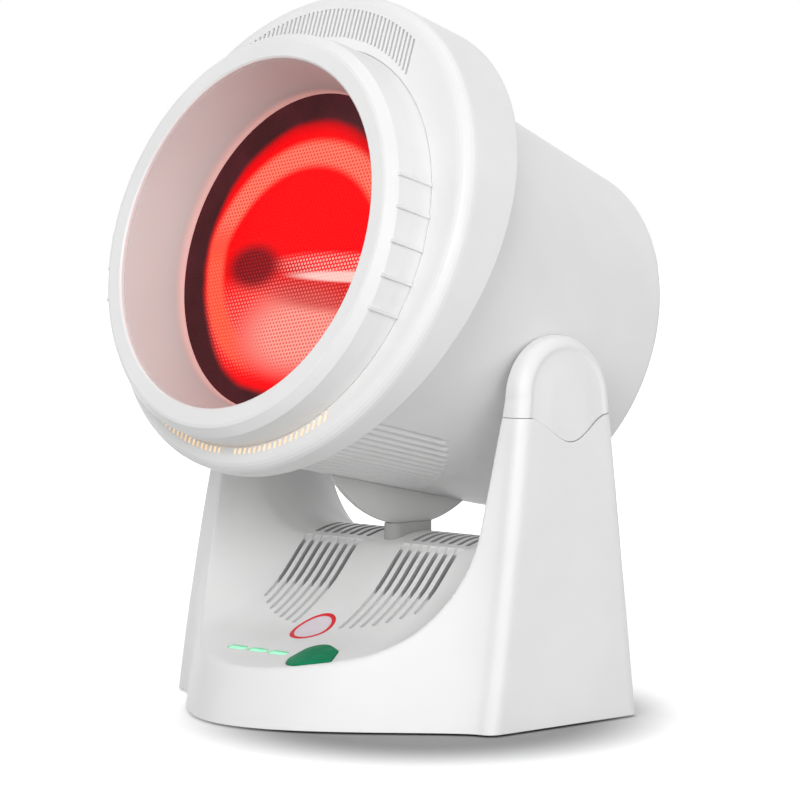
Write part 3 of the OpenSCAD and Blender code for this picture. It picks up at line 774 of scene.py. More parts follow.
class Skin:
    """Closed mesh of a field's surface, found on a grid and then drawn onto the true form."""

    def __init__(self, form: Field, low: Point, high: Point, step: float) -> None:
        """Mesh a field inside a box.

        Args:
            form: Field, negative inside, for points in rows.
            low: Lowest corner of the box in millimetres.
            high: Highest corner of the box.
            step: Size of a grid cell.
        """
        self.form = form
        self.step = step
        axes = [np.arange(a, b + step, step) for a, b in zip(low, high)]
        grid = np.stack(np.meshgrid(*axes, indexing="ij"), axis=-1)
        values = form(grid.reshape(-1, 3)).reshape(grid.shape[:3])
        self.points, self.faces = self.net(values, np.array(low, float))

    def net(self, values: Array, low: Array) -> tuple[Array, Array]:
        """Place one point in each cell that the surface crosses and join them by squares.

        Args:
            values: Field on the grid.
            low: Lowest corner of the grid.

        Returns:
            Points and squares.
        """
        inside = values < 0
        count = np.zeros(tuple(n - 1 for n in values.shape), np.int8)
        corners = [(i, j, k) for i in (0, 1) for j in (0, 1) for k in (0, 1)]
        span = count.shape
        for i, j, k in corners:
            count += inside[i:i + span[0], j:j + span[1], k:k + span[2]]
        cells = np.argwhere((count > 0) & (count < 8))
        number = np.full(count.shape, -1, np.int64)
        number[tuple(cells.T)] = np.arange(len(cells))
        total, hits = np.zeros((len(cells), 3)), np.zeros(len(cells))
        for first in corners:
            for axis in range(3):
                if first[axis]:
                    continue
                second = tuple(c + (a == axis) for a, c in enumerate(first))
                start, stop = cells + first, cells + second
                a, b = values[tuple(start.T)], values[tuple(stop.T)]
                met = (a < 0) != (b < 0)
                part = start[met] + (a[met] / (a[met] - b[met]))[:, None] * (stop - start)[met]
                total[met] += part
                hits[met] += 1
        points = low + self.step * total / hits[:, None]
        faces = []
        for axis in range(3):
            one, two = [a for a in range(3) if a != axis]
            ahead = np.take(inside, np.arange(1, values.shape[axis]), axis)
            back = np.take(inside, np.arange(values.shape[axis] - 1), axis)
            crossing = np.argwhere(ahead != back)
            keep = np.all([(crossing[:, a] > 0) & (crossing[:, a] < values.shape[a] - 1)
                           for a in (one, two)], axis=0)
            crossing = crossing[keep]
            shift_one, shift_two = np.eye(3, dtype=int)[one], np.eye(3, dtype=int)[two]
            around = [crossing - shift_one - shift_two, crossing - shift_two, crossing,
                      crossing - shift_one]
            square = np.stack([number[tuple(c.T)] for c in around], axis=1)
            flip = back[tuple(crossing.T)] ^ (axis == 1)
            square[~flip] = square[~flip][:, ::-1]
            faces.append(square)
        return points, np.concatenate(faces)

    def slope(self, points: Array) -> Array:
        """Return the field's gradient at points."""
        parts = []
        for axis in np.eye(3) * 0.02:
            parts.append((self.form(points + axis) - self.form(points - axis)) / 0.04)
        return np.stack(parts, axis=1)

    def settle(self, points: Array, rounds: int = 3) -> Array:
        """Draw points onto the surface of the form.

        Args:
            points: Points near the surface.
            rounds: Number of steps.

        Returns:
            The moved points.
        """
        for _ in range(rounds):
            slope = self.slope(points)
            size = np.maximum((slope ** 2).sum(1), 1e-6)
            move = slope * (self.form(points) / size)[:, None]
            far = np.linalg.norm(move, axis=1, keepdims=True)
            points = points - move * np.minimum(1.0, self.step * 0.7 / np.maximum(far, 1e-9))
        return points

    def build(self, name: str) -> bpy.types.Object:
        """Return the mesh as a new object, in millimetres."""
        return new_object(name, self.settle(self.points), self.faces.tolist())


def new_object(name: str, points: Any, faces: Any) -> bpy.types.Object:
    """Make a mesh object.

    Args:
        name: Name of the object and its mesh.
        points: Places of the vertices.
        faces: Corners of the faces.

    Returns:
        The object, linked to the scene.
    """
    mesh = bpy.data.meshes.new(name)
    mesh.from_pydata([tuple(p) for p in points], [], faces)
    made = bpy.data.objects.new(name, mesh)
    bpy.context.scene.collection.objects.link(made)
    return made


def face_outwards(made: bpy.types.Object) -> None:
    """Turn the faces of a closed mesh outwards."""
    shape = bmesh.new()
    shape.from_mesh(made.data)
    bmesh.ops.recalc_face_normals(shape, faces=shape.faces)
    shape.to_mesh(made.data)
    shape.free()


@dataclass
class Solids:
    """Closed lofts collected into one object, for cutting or joining."""

    points: list[Any] = field(default_factory=list)
    faces: list[list[int]] = field(default_factory=list)

    def loft(self, rings: Any) -> None:
        """Add a closed skin through rings that have the same number of points."""
        rings = [list(map(tuple, ring)) for ring in rings]
        start, n = len(self.points), len(rings[0])
        for ring in rings:
            self.points.extend(ring)
        for i in range(len(rings) - 1):
            for j in range(n):
                a, b = start + i * n, start + (i + 1) * n
                k = (j + 1) % n
                self.faces.append([a + j, a + k, b + k, b + j])
        self.faces.append([start + j for j in range(n)][::-1])
        self.faces.append([start + (len(rings) - 1) * n + j for j in range(n)])

    def revolve(self, line: list[tuple[float, float]], sides: int) -> None:
        """Add a solid turned about Z from radii and heights."""
        angles = np.linspace(0.0, 2 * math.pi, sides, endpoint=False)
        self.loft([[(r * math.cos(a), r * math.sin(a), z) for a in angles] for r, z in line])

    def rod(self, centre: Point, axis: int, radius: float, length: float, sides: int = 32) -> None:
        """Add a round rod.

        Args:
            centre: Middle of its first end.
            axis: Number of the axis that it lies along.
            radius: Radius in millimetres.
            length: Length in millimetres.
            sides: Number of sides.
        """
        one, two = [a for a in range(3) if a != axis]
        rings = []
        for along in (0.0, length):
            ring = np.tile(np.array(centre, float), (sides, 1))
            angles = np.linspace(0.0, 2 * math.pi, sides, endpoint=False)
            ring[:, one] += radius * np.cos(angles)
            ring[:, two] += radius * np.sin(angles)
            ring[:, axis] += along
            rings.append(ring)
        self.loft(rings)

    def channel(self, x: float, rows: Array, half: Array, low: Array, high: Array) -> None:
        """Add a straight channel along Y whose width, floor and top change from row to row.

        Args:
            x: Middle of the channel.
            rows: Places of the rows along Y.
            half: Half widths at the rows.
            low: Heights of the floor at the rows.
            high: Heights of the top at the rows.
        """
        self.loft([[(x - h, y, a), (x + h, y, a), (x + h, y, b), (x - h, y, b)]
                   for y, h, a, b in zip(rows, half, low, high)])

    def build(self, name: str) -> bpy.types.Object:
        """Return the lofts as one object whose faces point outwards."""
        made = new_object(name, self.points, self.faces)
        face_outwards(made)
        return made


def carve(target: bpy.types.Object, tool: bpy.types.Object, way: str = "DIFFERENCE") -> None:
    """Cut, join or intersect an object with a tool, and remove the tool.

    Args:
        target: Object to change.
        tool: Object that cuts.
        way: Boolean operation.
    """
    for solver in ("MANIFOLD", "EXACT"):
        step = target.modifiers.new("carve", "BOOLEAN")
        step.operation, step.solver, step.object = way, solver, tool
        graph = bpy.context.evaluated_depsgraph_get()
        mesh = bpy.data.meshes.new_from_object(target.evaluated_get(graph))
        target.modifiers.clear()
        if len(mesh.polygons) and len(mesh.polygons) != len(target.data.polygons):
            target.data = mesh
            break
        log.info("%s: the %s solver left it unchanged", target.name, solver)
    bpy.data.objects.remove(tool)


def finish_mesh(made: bpy.types.Object, shift: Point = (0.0, 0.0, 0.0), angle: float = 34.0) -> None:
    """Turn a mesh in millimetres into metres and smooth it up to its sharp edges.

    Args:
        made: Object to finish.
        shift: Move in millimetres.
        angle: Largest angle in degrees that is shaded smooth.
    """
    made.data.transform(Matrix.Scale(MM, 4) @ Matrix.Translation(shift))
    made.data.shade_smooth()
    made.data.set_sharp_from_angle(angle=math.radians(angle))


def settle_piece(made: bpy.types.Object, finish: bpy.types.Material, body: str, node: str) -> None:
    """Dress a new piece and let it stand for a node and move with its body.

    Args:
        made: The new piece.
        finish: Its finish.
        body: Body that carries it.
        node: Node that it stands for.
    """
    made.data.materials.clear()
    made.data.materials.append(finish)
    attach(made, body)
    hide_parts(node)


def stadium_rows(y0: float, y1: float, radius: float, inner: int = 8) -> tuple[Array, Array]:
    """Return rows and half widths of a slot with round ends.

    Args:
        y0: Near end.
        y1: Far end.
        radius: Half of the slot's width.
        inner: Number of rows along its straight part.

    Returns:
        Rows along Y and the half width at each.
    """
    angles = np.radians([6.0, 30.0, 60.0])
    first = y0 + radius - radius * np.cos(angles)
    last = y1 - radius + radius * np.cos(angles[::-1])
    rows = np.concatenate([first, np.linspace(y0 + radius, y1 - radius, inner), last])
    half = np.concatenate([radius * np.sin(angles), np.full(inner, radius),
                           radius * np.sin(angles[::-1])])
    return rows, half


# ---- base ----------------------------------------------------------------------------


@dataclass
class BaseForm:
    """Outer form of the forked base: flat sides, a round nose and a sunk floor between the arms.

    Lengths are in millimetres and Y is counted from the front corners of the side panels.
    """

    width: float = 200.0
    depth: float = 90.5
    nose: float = 56.0
    lean: float = 5.3
    corner: float = 6.0
    wall: float = 2.5
    gap: float = 167.2
    bend: float = 34.0
    bulge: float = 1.45
    taper: tuple[float, float] = (0.0022, 0.00003)
    arm_depth: float = 53.6
    arm_rise: float = 25.6
    rim: float = 1.5
    seam_z: float = PIVOT_Z - 7.8
    seam_dip: float = 10.8
    cap_out: float = 95.3
    cap_in: float = 83.44
    floor: tuple = ((-64, 21.2), (-45, 25.2), (-24, 31.2), (-4, 38.2), (16.6, 52.2), (33.4, 70.0),
                    (39.5, 72.3), (49, 74.6), (60, 74.5), (75, 69.8), (96, 51.0))

    def floor_z(self, y: Array) -> Array:
        """Return the height of the sunk floor."""
        return self.floor_curve(y)[0]

    def floor_curve(self, y: Array) -> tuple[Array, Array]:
        """Run a smooth curve through the floor's points.

        Args:
            y: Places along the floor.

        Returns:
            Heights and slopes.
        """
        knots, heights = np.array(self.floor, float).T
        after = np.minimum(np.arange(len(knots)) + 1, len(knots) - 1)
        before = np.maximum(np.arange(len(knots)) - 1, 0)
        slopes = (heights[after] - heights[before]) / (knots[after] - knots[before])
        y = np.clip(np.asarray(y, float), -64.0, 96.0)
        i = np.clip(np.searchsorted(knots, y, side="right") - 1, 0, len(knots) - 2)
        w = knots[i + 1] - knots[i]
        t = (y - knots[i]) / w
        h = 3 * t ** 2 - 2 * t ** 3
        z = (heights[i] * (1 - h) + heights[i + 1] * h
             + w * (slopes[i] * (t ** 3 - 2 * t ** 2 + t) + slopes[i + 1] * (t ** 3 - t ** 2)))
        turn = ((heights[i + 1] - heights[i]) * (6 * t - 6 * t ** 2) / w
                + slopes[i] * (3 * t ** 2 - 4 * t + 1) + slopes[i + 1] * (3 * t ** 2 - 2 * t))
        return z, turn

    def side_x(self, z: Array) -> Array:
        """Return the half width of the base at a height."""
        return self.width / 2 - self.lean * (np.maximum(z, 0) / PIVOT_Z) ** 2.4

    def front_y(self, z: Array) -> Array:
        """Return the front edge of a side panel at a height."""
        k = z / PIVOT_Z
        return (PIVOT_IN - self.arm_depth / 2) * (0.87 * k + 0.13 * k * k)

    def rear_y(self, z: Array) -> Array:
        """Return the rear edge of a side panel at a height."""
        k = z / PIVOT_Z
        return self.depth - (self.depth - PIVOT_IN - self.arm_depth / 2) * (1.5 * k - 0.5 * k * k)

    def seam_at(self, y: Array) -> Array:
        """Return the height of the seam between an arm and its cap."""
        v = np.abs(np.asarray(y, float) - PIVOT_IN) / 24
        return self.seam_z - np.where(v < 1, self.seam_dip * (0.5 + 0.5 * np.cos(np.pi * v)), 0.0)

    def inner_x(self, z: Array) -> Array:
        """Return the distance of an arm's inner face from the middle."""
        return self.gap / 2 + 0.02 * (z - PIVOT_Z)

    def block(self, p: Array, t: float) -> Array:
        """Field of the whole block, drawn in by t."""
        x, y, z = np.abs(p[:, 0]), p[:, 1], p[:, 2]
        w, r = self.side_x(z) - t, max(self.corner - t, 1.0)
        u = np.clip(x / (w - r), 0.0, 1.0)
        tall = (self.nose - t) * (1 - self.taper[0] * z - self.taper[1] * z * z)
        bulge = tall * (1 - u * u) ** self.bulge
        turn = tall * 2 * self.bulge * u * (1 - u * u) ** (self.bulge - 1) / (w - r)
        front = (self.front_y(z) + t - bulge - y) / np.sqrt(1 + turn ** 2)
        rear = y - (self.rear_y(z) - t) - 1.5 * (1 - u * u)
        return round_max(x - w, np.maximum(front, rear), r)

    def space(self, p: Array, t: float) -> Array:
        """Field of the space over the sunk floor and between the arms, grown by t."""
        z_floor, turn = self.floor_curve(p[:, 1])
        a = np.abs(p[:, 0]) - self.inner_x(p[:, 2]) - t
        b = z_floor - t * 1.15 - p[:, 2]
        r = self.bend
        share = np.maximum(b + r, 0) / np.maximum(
            np.hypot(np.maximum(a + r, 0), np.maximum(b + r, 0)), 1e-6)
        return round_max(a, b, r) / np.sqrt(1 + (turn * share) ** 2)

    def outside(self, p: Array) -> Array:
        """Field of the moulding with its rounded rim."""
        return round_max(self.block(p, 0.0), -self.space(p, 0.0), self.rim)

    def hollow(self, p: Array) -> Array:
        """Field of the cavity in the moulding."""
        return np.maximum(self.block(p, self.wall), -self.space(p, self.wall))

    def dish(self, inwards: Array) -> Array:
        """Return the depth of the shallow hollow inside an arm's rounded rim."""
        first = np.clip((inwards - 4.2) / 2.6, 0.0, 1.0)
        last = np.clip((inwards - 8.5) / 10.0, 0.0, 1.0)
        return 0.75 * first ** 2 * (3 - 2 * first) - 0.6 * last ** 2 * (3 - 2 * last)

    def cap_outside(self, p: Array, t: float = 0.0) -> Array:
        """Field of an arm's rounded end, drawn in by t."""
        x, y, z = p[:, 0], p[:, 1] - PIVOT_IN, p[:, 2] - PIVOT_Z
        a, b = self.arm_depth / 2, self.arm_rise
        k = np.hypot(y / a, z / b)
        g = np.maximum(np.hypot(y / a ** 2, z / b ** 2), 1e-6)
        arch = k * (k - 1) / g
        low = self.seam_z - 14
        fall = -z / (PIVOT_Z - low)
        front = -a + (self.front_y(low) - PIVOT_IN + a) * fall
        rear = a + (self.rear_y(low) - PIVOT_IN - a) * fall
        profile = np.where(z > 0, arch, np.maximum(front - y, y - rear))
        outer = x - (self.cap_out - 0.0698 * (p[:, 2] - self.seam_z)) + t + self.dish(-profile)
        profile = profile + t
        inner = self.cap_in + 0.0192 * (p[:, 2] - self.seam_z) - x + t
        edge = max(self.corner - t, 1.2)
        return round_max(round_max(profile, outer, edge), inner, 0.8)


@dataclass
class BaseHousing:
    """The moulded base with its slots, grooves and holes, and the two arm caps."""

    form: BaseForm = field(default_factory=BaseForm)
    slots: int = 7
    slot_in: float = 14.7
    slot_out: float = 47.3
    slot_width: float = 2.6
    lower_slots: tuple[float, float] = (16.6, 33.4)
    ridge_slots: tuple[float, float] = (39.0, 55.0)
    groove_start: float = -5.2
    groove_fall: float = 13.7
    groove_end: float = 18.6
    groove_depth: float = 1.5
    flare_rows: Point = (31.4, 33.6, 35.6)
    flare_half: Point = (0.5, 2.3, 2.5)
    flare_depth: Point = (0.3, 1.6, 0.7)
    post_y: float = PIVOT_IN - 2.0
    post_half: tuple[float, float] = (4.7, 12.7)
    inlay_y: float = -6.2
    pocket: float = 9.9
    gland: Point = (-60.0, 82.5, 16.0)
    screws: tuple = ((-93, 26), (93, 26), (-93, 70), (93, 70), (-47, -24), (47, -24))
    seam_gap: float = 0.1

    def slot_places(self) -> list[float]:
        """Return the places of the slots on both sides of the middle."""
        steps = np.linspace(self.slot_in, self.slot_out, self.slots)
        return [*(-steps[::-1]), *steps]

    def surface_z(self, x: float, y: Array) -> Array:
        """Return the height of the sunk floor, with its bend towards the arms."""
        over = max(abs(x) - (self.form.gap / 2 - 1.0 - self.form.bend), 0.0)
        return self.form.floor_z(y) + self.form.bend - math.sqrt(self.form.bend ** 2 - over ** 2)

    def over_seam(self, lift: float) -> bpy.types.Object:
        """Return a solid of everything above the seam."""
        rows = np.arange(26.0, 79.0, 1.5)
        line = [(-90.0, self.form.seam_z + lift)]
        line += [(y, float(self.form.seam_at(y)) + lift) for y in rows]
        line += [(130.0, self.form.seam_z + lift), (130.0, 220.0), (-90.0, 220.0)]
        tool = Solids()
        tool.loft([[(x, y, z) for y, z in line] for x in (-150.0, 150.0)])
        return tool.build("over_seam")

    def openings(self) -> bpy.types.Object:
        """Return the cutters of all open slots and holes."""
        tool = Solids()
        for x in self.slot_places():
            for ends, low in ((self.lower_slots, 40.0), (self.ridge_slots, 64.0)):
                rows, half = stadium_rows(*ends, self.slot_width / 2, 2)
                tool.channel(x, rows, half, np.full(len(rows), low), np.full(len(rows), 90.0))
        wide, deep = self.post_half
        rows, half = stadium_rows(self.post_y - deep, self.post_y + deep, wide, 2)
        tool.channel(0.0, rows, half, np.full(len(rows), 55.0), np.full(len(rows), 95.0))
        tool.rod(self.gland, 1, 6.2, 20.0)
        return tool.build("base_openings")

    def grooves(self) -> bpy.types.Object:
        """Return the cutters of the blind grooves, which are shorter away from the middle."""
        tool = Solids()
        for x in self.slot_places():
            start = self.groove_start + self.groove_fall * (abs(x) / self.slot_out) ** 2.4
            rows, half = stadium_rows(start, self.groove_end, self.slot_width / 2 - 0.1, 14)
            floor = self.surface_z(x, rows)
            tool.channel(x, rows, half, floor - self.groove_depth, floor + 8.0)
        return tool.build("base_grooves")

    def flares(self) -> bpy.types.Object:
        """Return the cutters of the flared upper ends of the slots and of the round pocket."""
        tool = Solids()
        for x in self.slot_places():
            rows = np.array(self.flare_rows)
            floor = self.surface_z(x, rows)
            tool.channel(x, rows, np.array(self.flare_half), floor - np.array(self.flare_depth),
                         floor + 8.0)
        rows = self.inlay_y + self.pocket * np.sin(np.radians(np.linspace(-86, 86, 25)))
        half = np.sqrt(self.pocket ** 2 - (rows - self.inlay_y) ** 2)
        floor = self.form.floor_z(rows)
        tool.channel(0.0, rows, half, floor - 0.6, floor + 6.0)
        return tool.build("base_flares")

    def bosses(self) -> bpy.types.Object:
        """Return the solid screw posts that stay in the cavity."""
        tool = Solids()
        for x, y in self.screws:
            tool.rod((x, y, 4.2), 2, 4.2, 60.0 if y < 0 else 24.0, 24)
        return tool.build("bosses")

    def screw_holes(self) -> bpy.types.Object:
        """Return the cutters of the screw holes."""
        tool = Solids()
        for x, y in self.screws:
            tool.rod((x, y, -1.0), 2, 1.4, 23.0, 16)
        return tool.build("screw_holes")

    def under_floor(self) -> bpy.types.Object:
        """Return the cutter below the base's lower edge."""
        tool = Solids()
        corners = [(-150, -90), (150, -90), (150, 130), (-150, 130)]
        tool.loft([[(x, y, z) for x, y in corners] for z in (-20.0, 1.0)])
        return tool.build("under_floor")

    def shell(self, controls: "Controls") -> bpy.types.Object:
        """Build the base's moulding.

        Args:
            controls: The controls whose holes the floor has.

        Returns:
            The finished piece.
        """
        form = self.form
        outer = Skin(form.outside, (-103.0, -60.0, -3.0), (103.0, 95.0, 137.0), 1.15)
        made = outer.build("base_skin")
        log.info("base skin: %d faces", len(made.data.polygons))
        cavity = Skin(form.hollow, (-103.0, -60.0, -6.0), (103.0, 95.0, 140.0), 2.3)
        hollow = cavity.build("cavity")
        carve(hollow, self.bosses())
        carve(made, hollow)
        for tool in (self.over_seam(-self.seam_gap), self.under_floor(), self.openings(),
                     self.grooves(), self.flares(), controls.cutters(), self.screw_holes()):
            carve(made, tool)
        finish_mesh(made, (0.0, -BASE_FRONT, 0.0))
        return made

    def cap(self, side: int) -> bpy.types.Object:
        """Build one arm cap.

        Args:
            side: 1 for the right arm, -1 for the left.

        Returns:
            The finished piece.
        """
        form = self.form
        name = "arm_cap_skin_right" if side > 0 else "arm_cap_skin_left"
        box = ((81.0, 18.0, 110.0), (99.0, 84.0, 166.0))
        made = Skin(form.cap_outside, *box, 0.7).build(name)
        hollow = Skin(lambda p: form.cap_outside(p, 2.2), *box, 1.2).build("cap_hollow")
        carve(made, hollow)
        bore = Solids()
        bore.rod((60.0, PIVOT_IN, PIVOT_Z), 0, 7.2, 28.0)
        carve(made, bore.build("cap_bore"))
        carve(made, self.over_seam(self.seam_gap), "INTERSECT")
        finish_mesh(made, (0.0, -BASE_FRONT, 0.0))
        if side < 0:
            made.data.transform(Matrix.Scale(-1.0, 4, (1.0, 0.0, 0.0)))
            made.data.flip_normals()
        return made

    def make(self, controls: "Controls", white: bpy.types.Material,
             recess_shade: bpy.types.Material, shade: bpy.types.Material) -> list[bpy.types.Object]:
        """Build and dress the base's moulding and both caps.

        Args:
            controls: The controls in the sunk floor.
            white: Finish of the mouldings.
            recess_shade: Grey painted shade of the blind grooves and the holes of the controls.
            shade: Darker painted shade on the walls of the slots and on the inside.

        Returns:
            The pieces.
        """
        pieces = []
        for made, node in ((self.shell(controls), "base_shell"), (self.cap(-1), "arm_cap_left"),
                           (self.cap(1), "arm_cap_right")):
            settle_piece(made, white, "base", node)
            pieces.append(made)
        pieces[0].data.materials.append(recess_shade)
        pieces[0].data.materials.append(shade)
        self.shade_inside(pieces[0])
        return pieces

    def shade_inside(self, made: bpy.types.Object) -> None:
        """Paint shade into the moulding: the faces of the recesses get the second material, a grey painted
        shade, and those inside the third, a darker painted shade.

        The blind grooves lie in front of the open slots, and the slots' flared ends stay white.

        Args:
            made: The base's moulding.
        """
        count = len(made.data.polygons)
        centres = np.empty(count * 3)
        made.data.polygons.foreach_get("center", centres)
        centres = centres.reshape(-1, 3) / MM + (0.0, BASE_FRONT, 0.0)
        depth, y = -self.form.outside(centres), centres[:, 1]
        flare = (y > self.lower_slots[1] - 0.1) & (y < 36.5)
        slots = y > self.lower_slots[0] + 1.2
        # Painted shade: faces that lie deeper than these limits below the outer surface get the grey
        # materials.
        inside = depth > np.where(flare, 1.8, np.where(slots, 0.5, 1.9))
        recess_shade = (depth > 0.3) & ~slots & (centres[:, 2] > 12.0)
        made.data.polygons.foreach_set("material_index",
                                       np.where(inside, 2, recess_shade).astype(np.int32))


# ---- controls ------------------------------------------------------------------------


@dataclass
class Controls:
    """The button, the light windows and the holes that they sit in."""

    row: float = -30.2
    tilt: float = 16.6
    button_x: float = 29.0
    light_x: tuple[float, float, float] = (-21.0, -8.1, 4.8)
    light_length: float = 11.3
    light_width: float = 3.6
    circles: tuple = ((-5.2, 4.3, 7.6), (-5.4, -3.2, 7.0), (0.5, 3.8, 5.8), (2.5, 1.8, 4.6),
                      (9.2, -1.6, 0.9))

    def panel(self, x: float) -> Matrix:
        """Return the frame on the sunk floor at a place along the row, in millimetres."""
        height = float(BaseForm().floor_z(np.array([self.row]))[0])
        return Matrix.Translation((x, self.row, height)) @ Matrix.Rotation(
            math.radians(self.tilt), 4, "X")

    def outline(self, grow: float, sides: int = 96) -> Array:
        """Return the leaf-shaped outline of the button.

        Args:
            grow: Distance to move the outline outwards.
            sides: Number of points.

        Returns:
            Points in the panel's plane.
        """
        points = []
        for angle in np.linspace(0.0, 2 * math.pi, sides, endpoint=False):
            way = np.array([math.cos(angle), math.sin(angle)])
            best = max(self.circles, key=lambda c: c[0] * way[0] + c[1] * way[1] + c[2])
            points.append(np.array(best[:2]) + way * max(best[2] + grow, 0.1))
        return np.array(points)

    def stadium(self, grow: float, sides: int = 12) -> Array:
        """Return the outline of a light window, grown by a gap."""
        radius = self.light_width / 2 + grow
        reach = (self.light_length - self.light_width) / 2
        points = []
        for middle, start in ((reach, -90.0), (-reach, 90.0)):
            for angle in np.radians(np.linspace(start, start + 180.0, sides)):
                points.append((middle + radius * math.cos(angle), radius * math.sin(angle)))
        return np.array(points)

    def raise_outline(self, x: float, rings: list[tuple[Array, float]]) -> list[list[Vector]]:
        """Lift flat outlines into rings in the panel's frame.

        Args:
            x: Place along the row.
            rings: Outlines with their heights over the panel.

        Returns:
            Rings of points in the base's frame.
        """
        frame = self.panel(x)
        return [[frame @ Vector((a, b, z)) for a, b in outline] for outline, z in rings]

    def cutters(self) -> bpy.types.Object:
        """Return the cutters of the button's hole and the light windows."""
        tool = Solids()
        hole = self.outline(0.35)
        tool.loft(self.raise_outline(self.button_x, [(hole, -7.0), (hole, 8.0)]))
        for x in self.light_x:
            window = self.stadium(0.2)
            tool.loft(self.raise_outline(x, [(window, -6.0), (window, 6.0)]))
        return tool.build("control_holes")

    def button(self) -> bpy.types.Object:
        """Build the button's cap with its crown, its clip and its stem.

        Returns:
            The finished piece.
        """
        rings = [(self.outline(0.0), -5.0), (self.outline(0.0), -0.2)]
        for turn in np.radians(np.arange(0, 91, 11.25)):
            draw, rise = 0.8 * (1 - math.cos(turn)), 0.9 * math.sin(turn)
            rings.append((self.outline(-draw), rise))
        crown = self.outline(-0.8)
        middle = crown.mean(axis=0)
        for share in (0.92, 0.8, 0.65, 0.42, 0.2, 0.05):
            rings.append((middle + (crown - middle) * share, 0.9 + 0.8 * (1 - share ** 2)))
        body = Solids()
        body.loft(self.raise_outline(self.button_x, rings))
        made = body.build("button_cap")
        ears = Solids()
        ear = self.outline(1.4)
        ear = ear[(ear[:, 0] < 0) & (ear[:, 1] > -2)]
        ear = np.concatenate([ear, [(min(ear[:, 0]), -2.0), (0.0, -2.0)]])
        order = np.argsort(np.arctan2(ear[:, 1] - 2.0, ear[:, 0] + 5.0))
        ears.loft(self.raise_outline(self.button_x, [(ear[order], -4.95), (ear[order], -3.6)]))
        carve(made, ears.build("button_ear"), "UNION")
        stem = Solids()
        ring = 2.0 * np.array([(math.cos(a), math.sin(a))
                               for a in np.linspace(0, 2 * math.pi, 24, endpoint=False)])
        stem.loft(self.raise_outline(self.button_x, [(ring, -8.0), (ring, -4.5)]))
        carve(made, stem.build("button_stem"), "UNION")
        finish_mesh(made, (0.0, -BASE_FRONT, 0.0), 40.0)
        return made

    def make(self, green: bpy.types.Material) -> list[bpy.types.Object]:
        """Build and dress the button.

        Args:
            green: Finish of the button.

        Returns:
            The pieces.
        """
        made = self.button()
        settle_piece(made, green, "button", "push_button")
        return [made]

    def window(self, name: str, x: float) -> bpy.types.Material:
        """Return the finish of the light window at a place along the row."""
        centre = self.panel(x) @ Vector((0.0, 0.0, 0.0))
        return LightWindow(name, (centre.x, centre.y - BASE_FRONT, centre.z), self.tilt).make()


# ---- drum ----------------------------------------------------------------------------


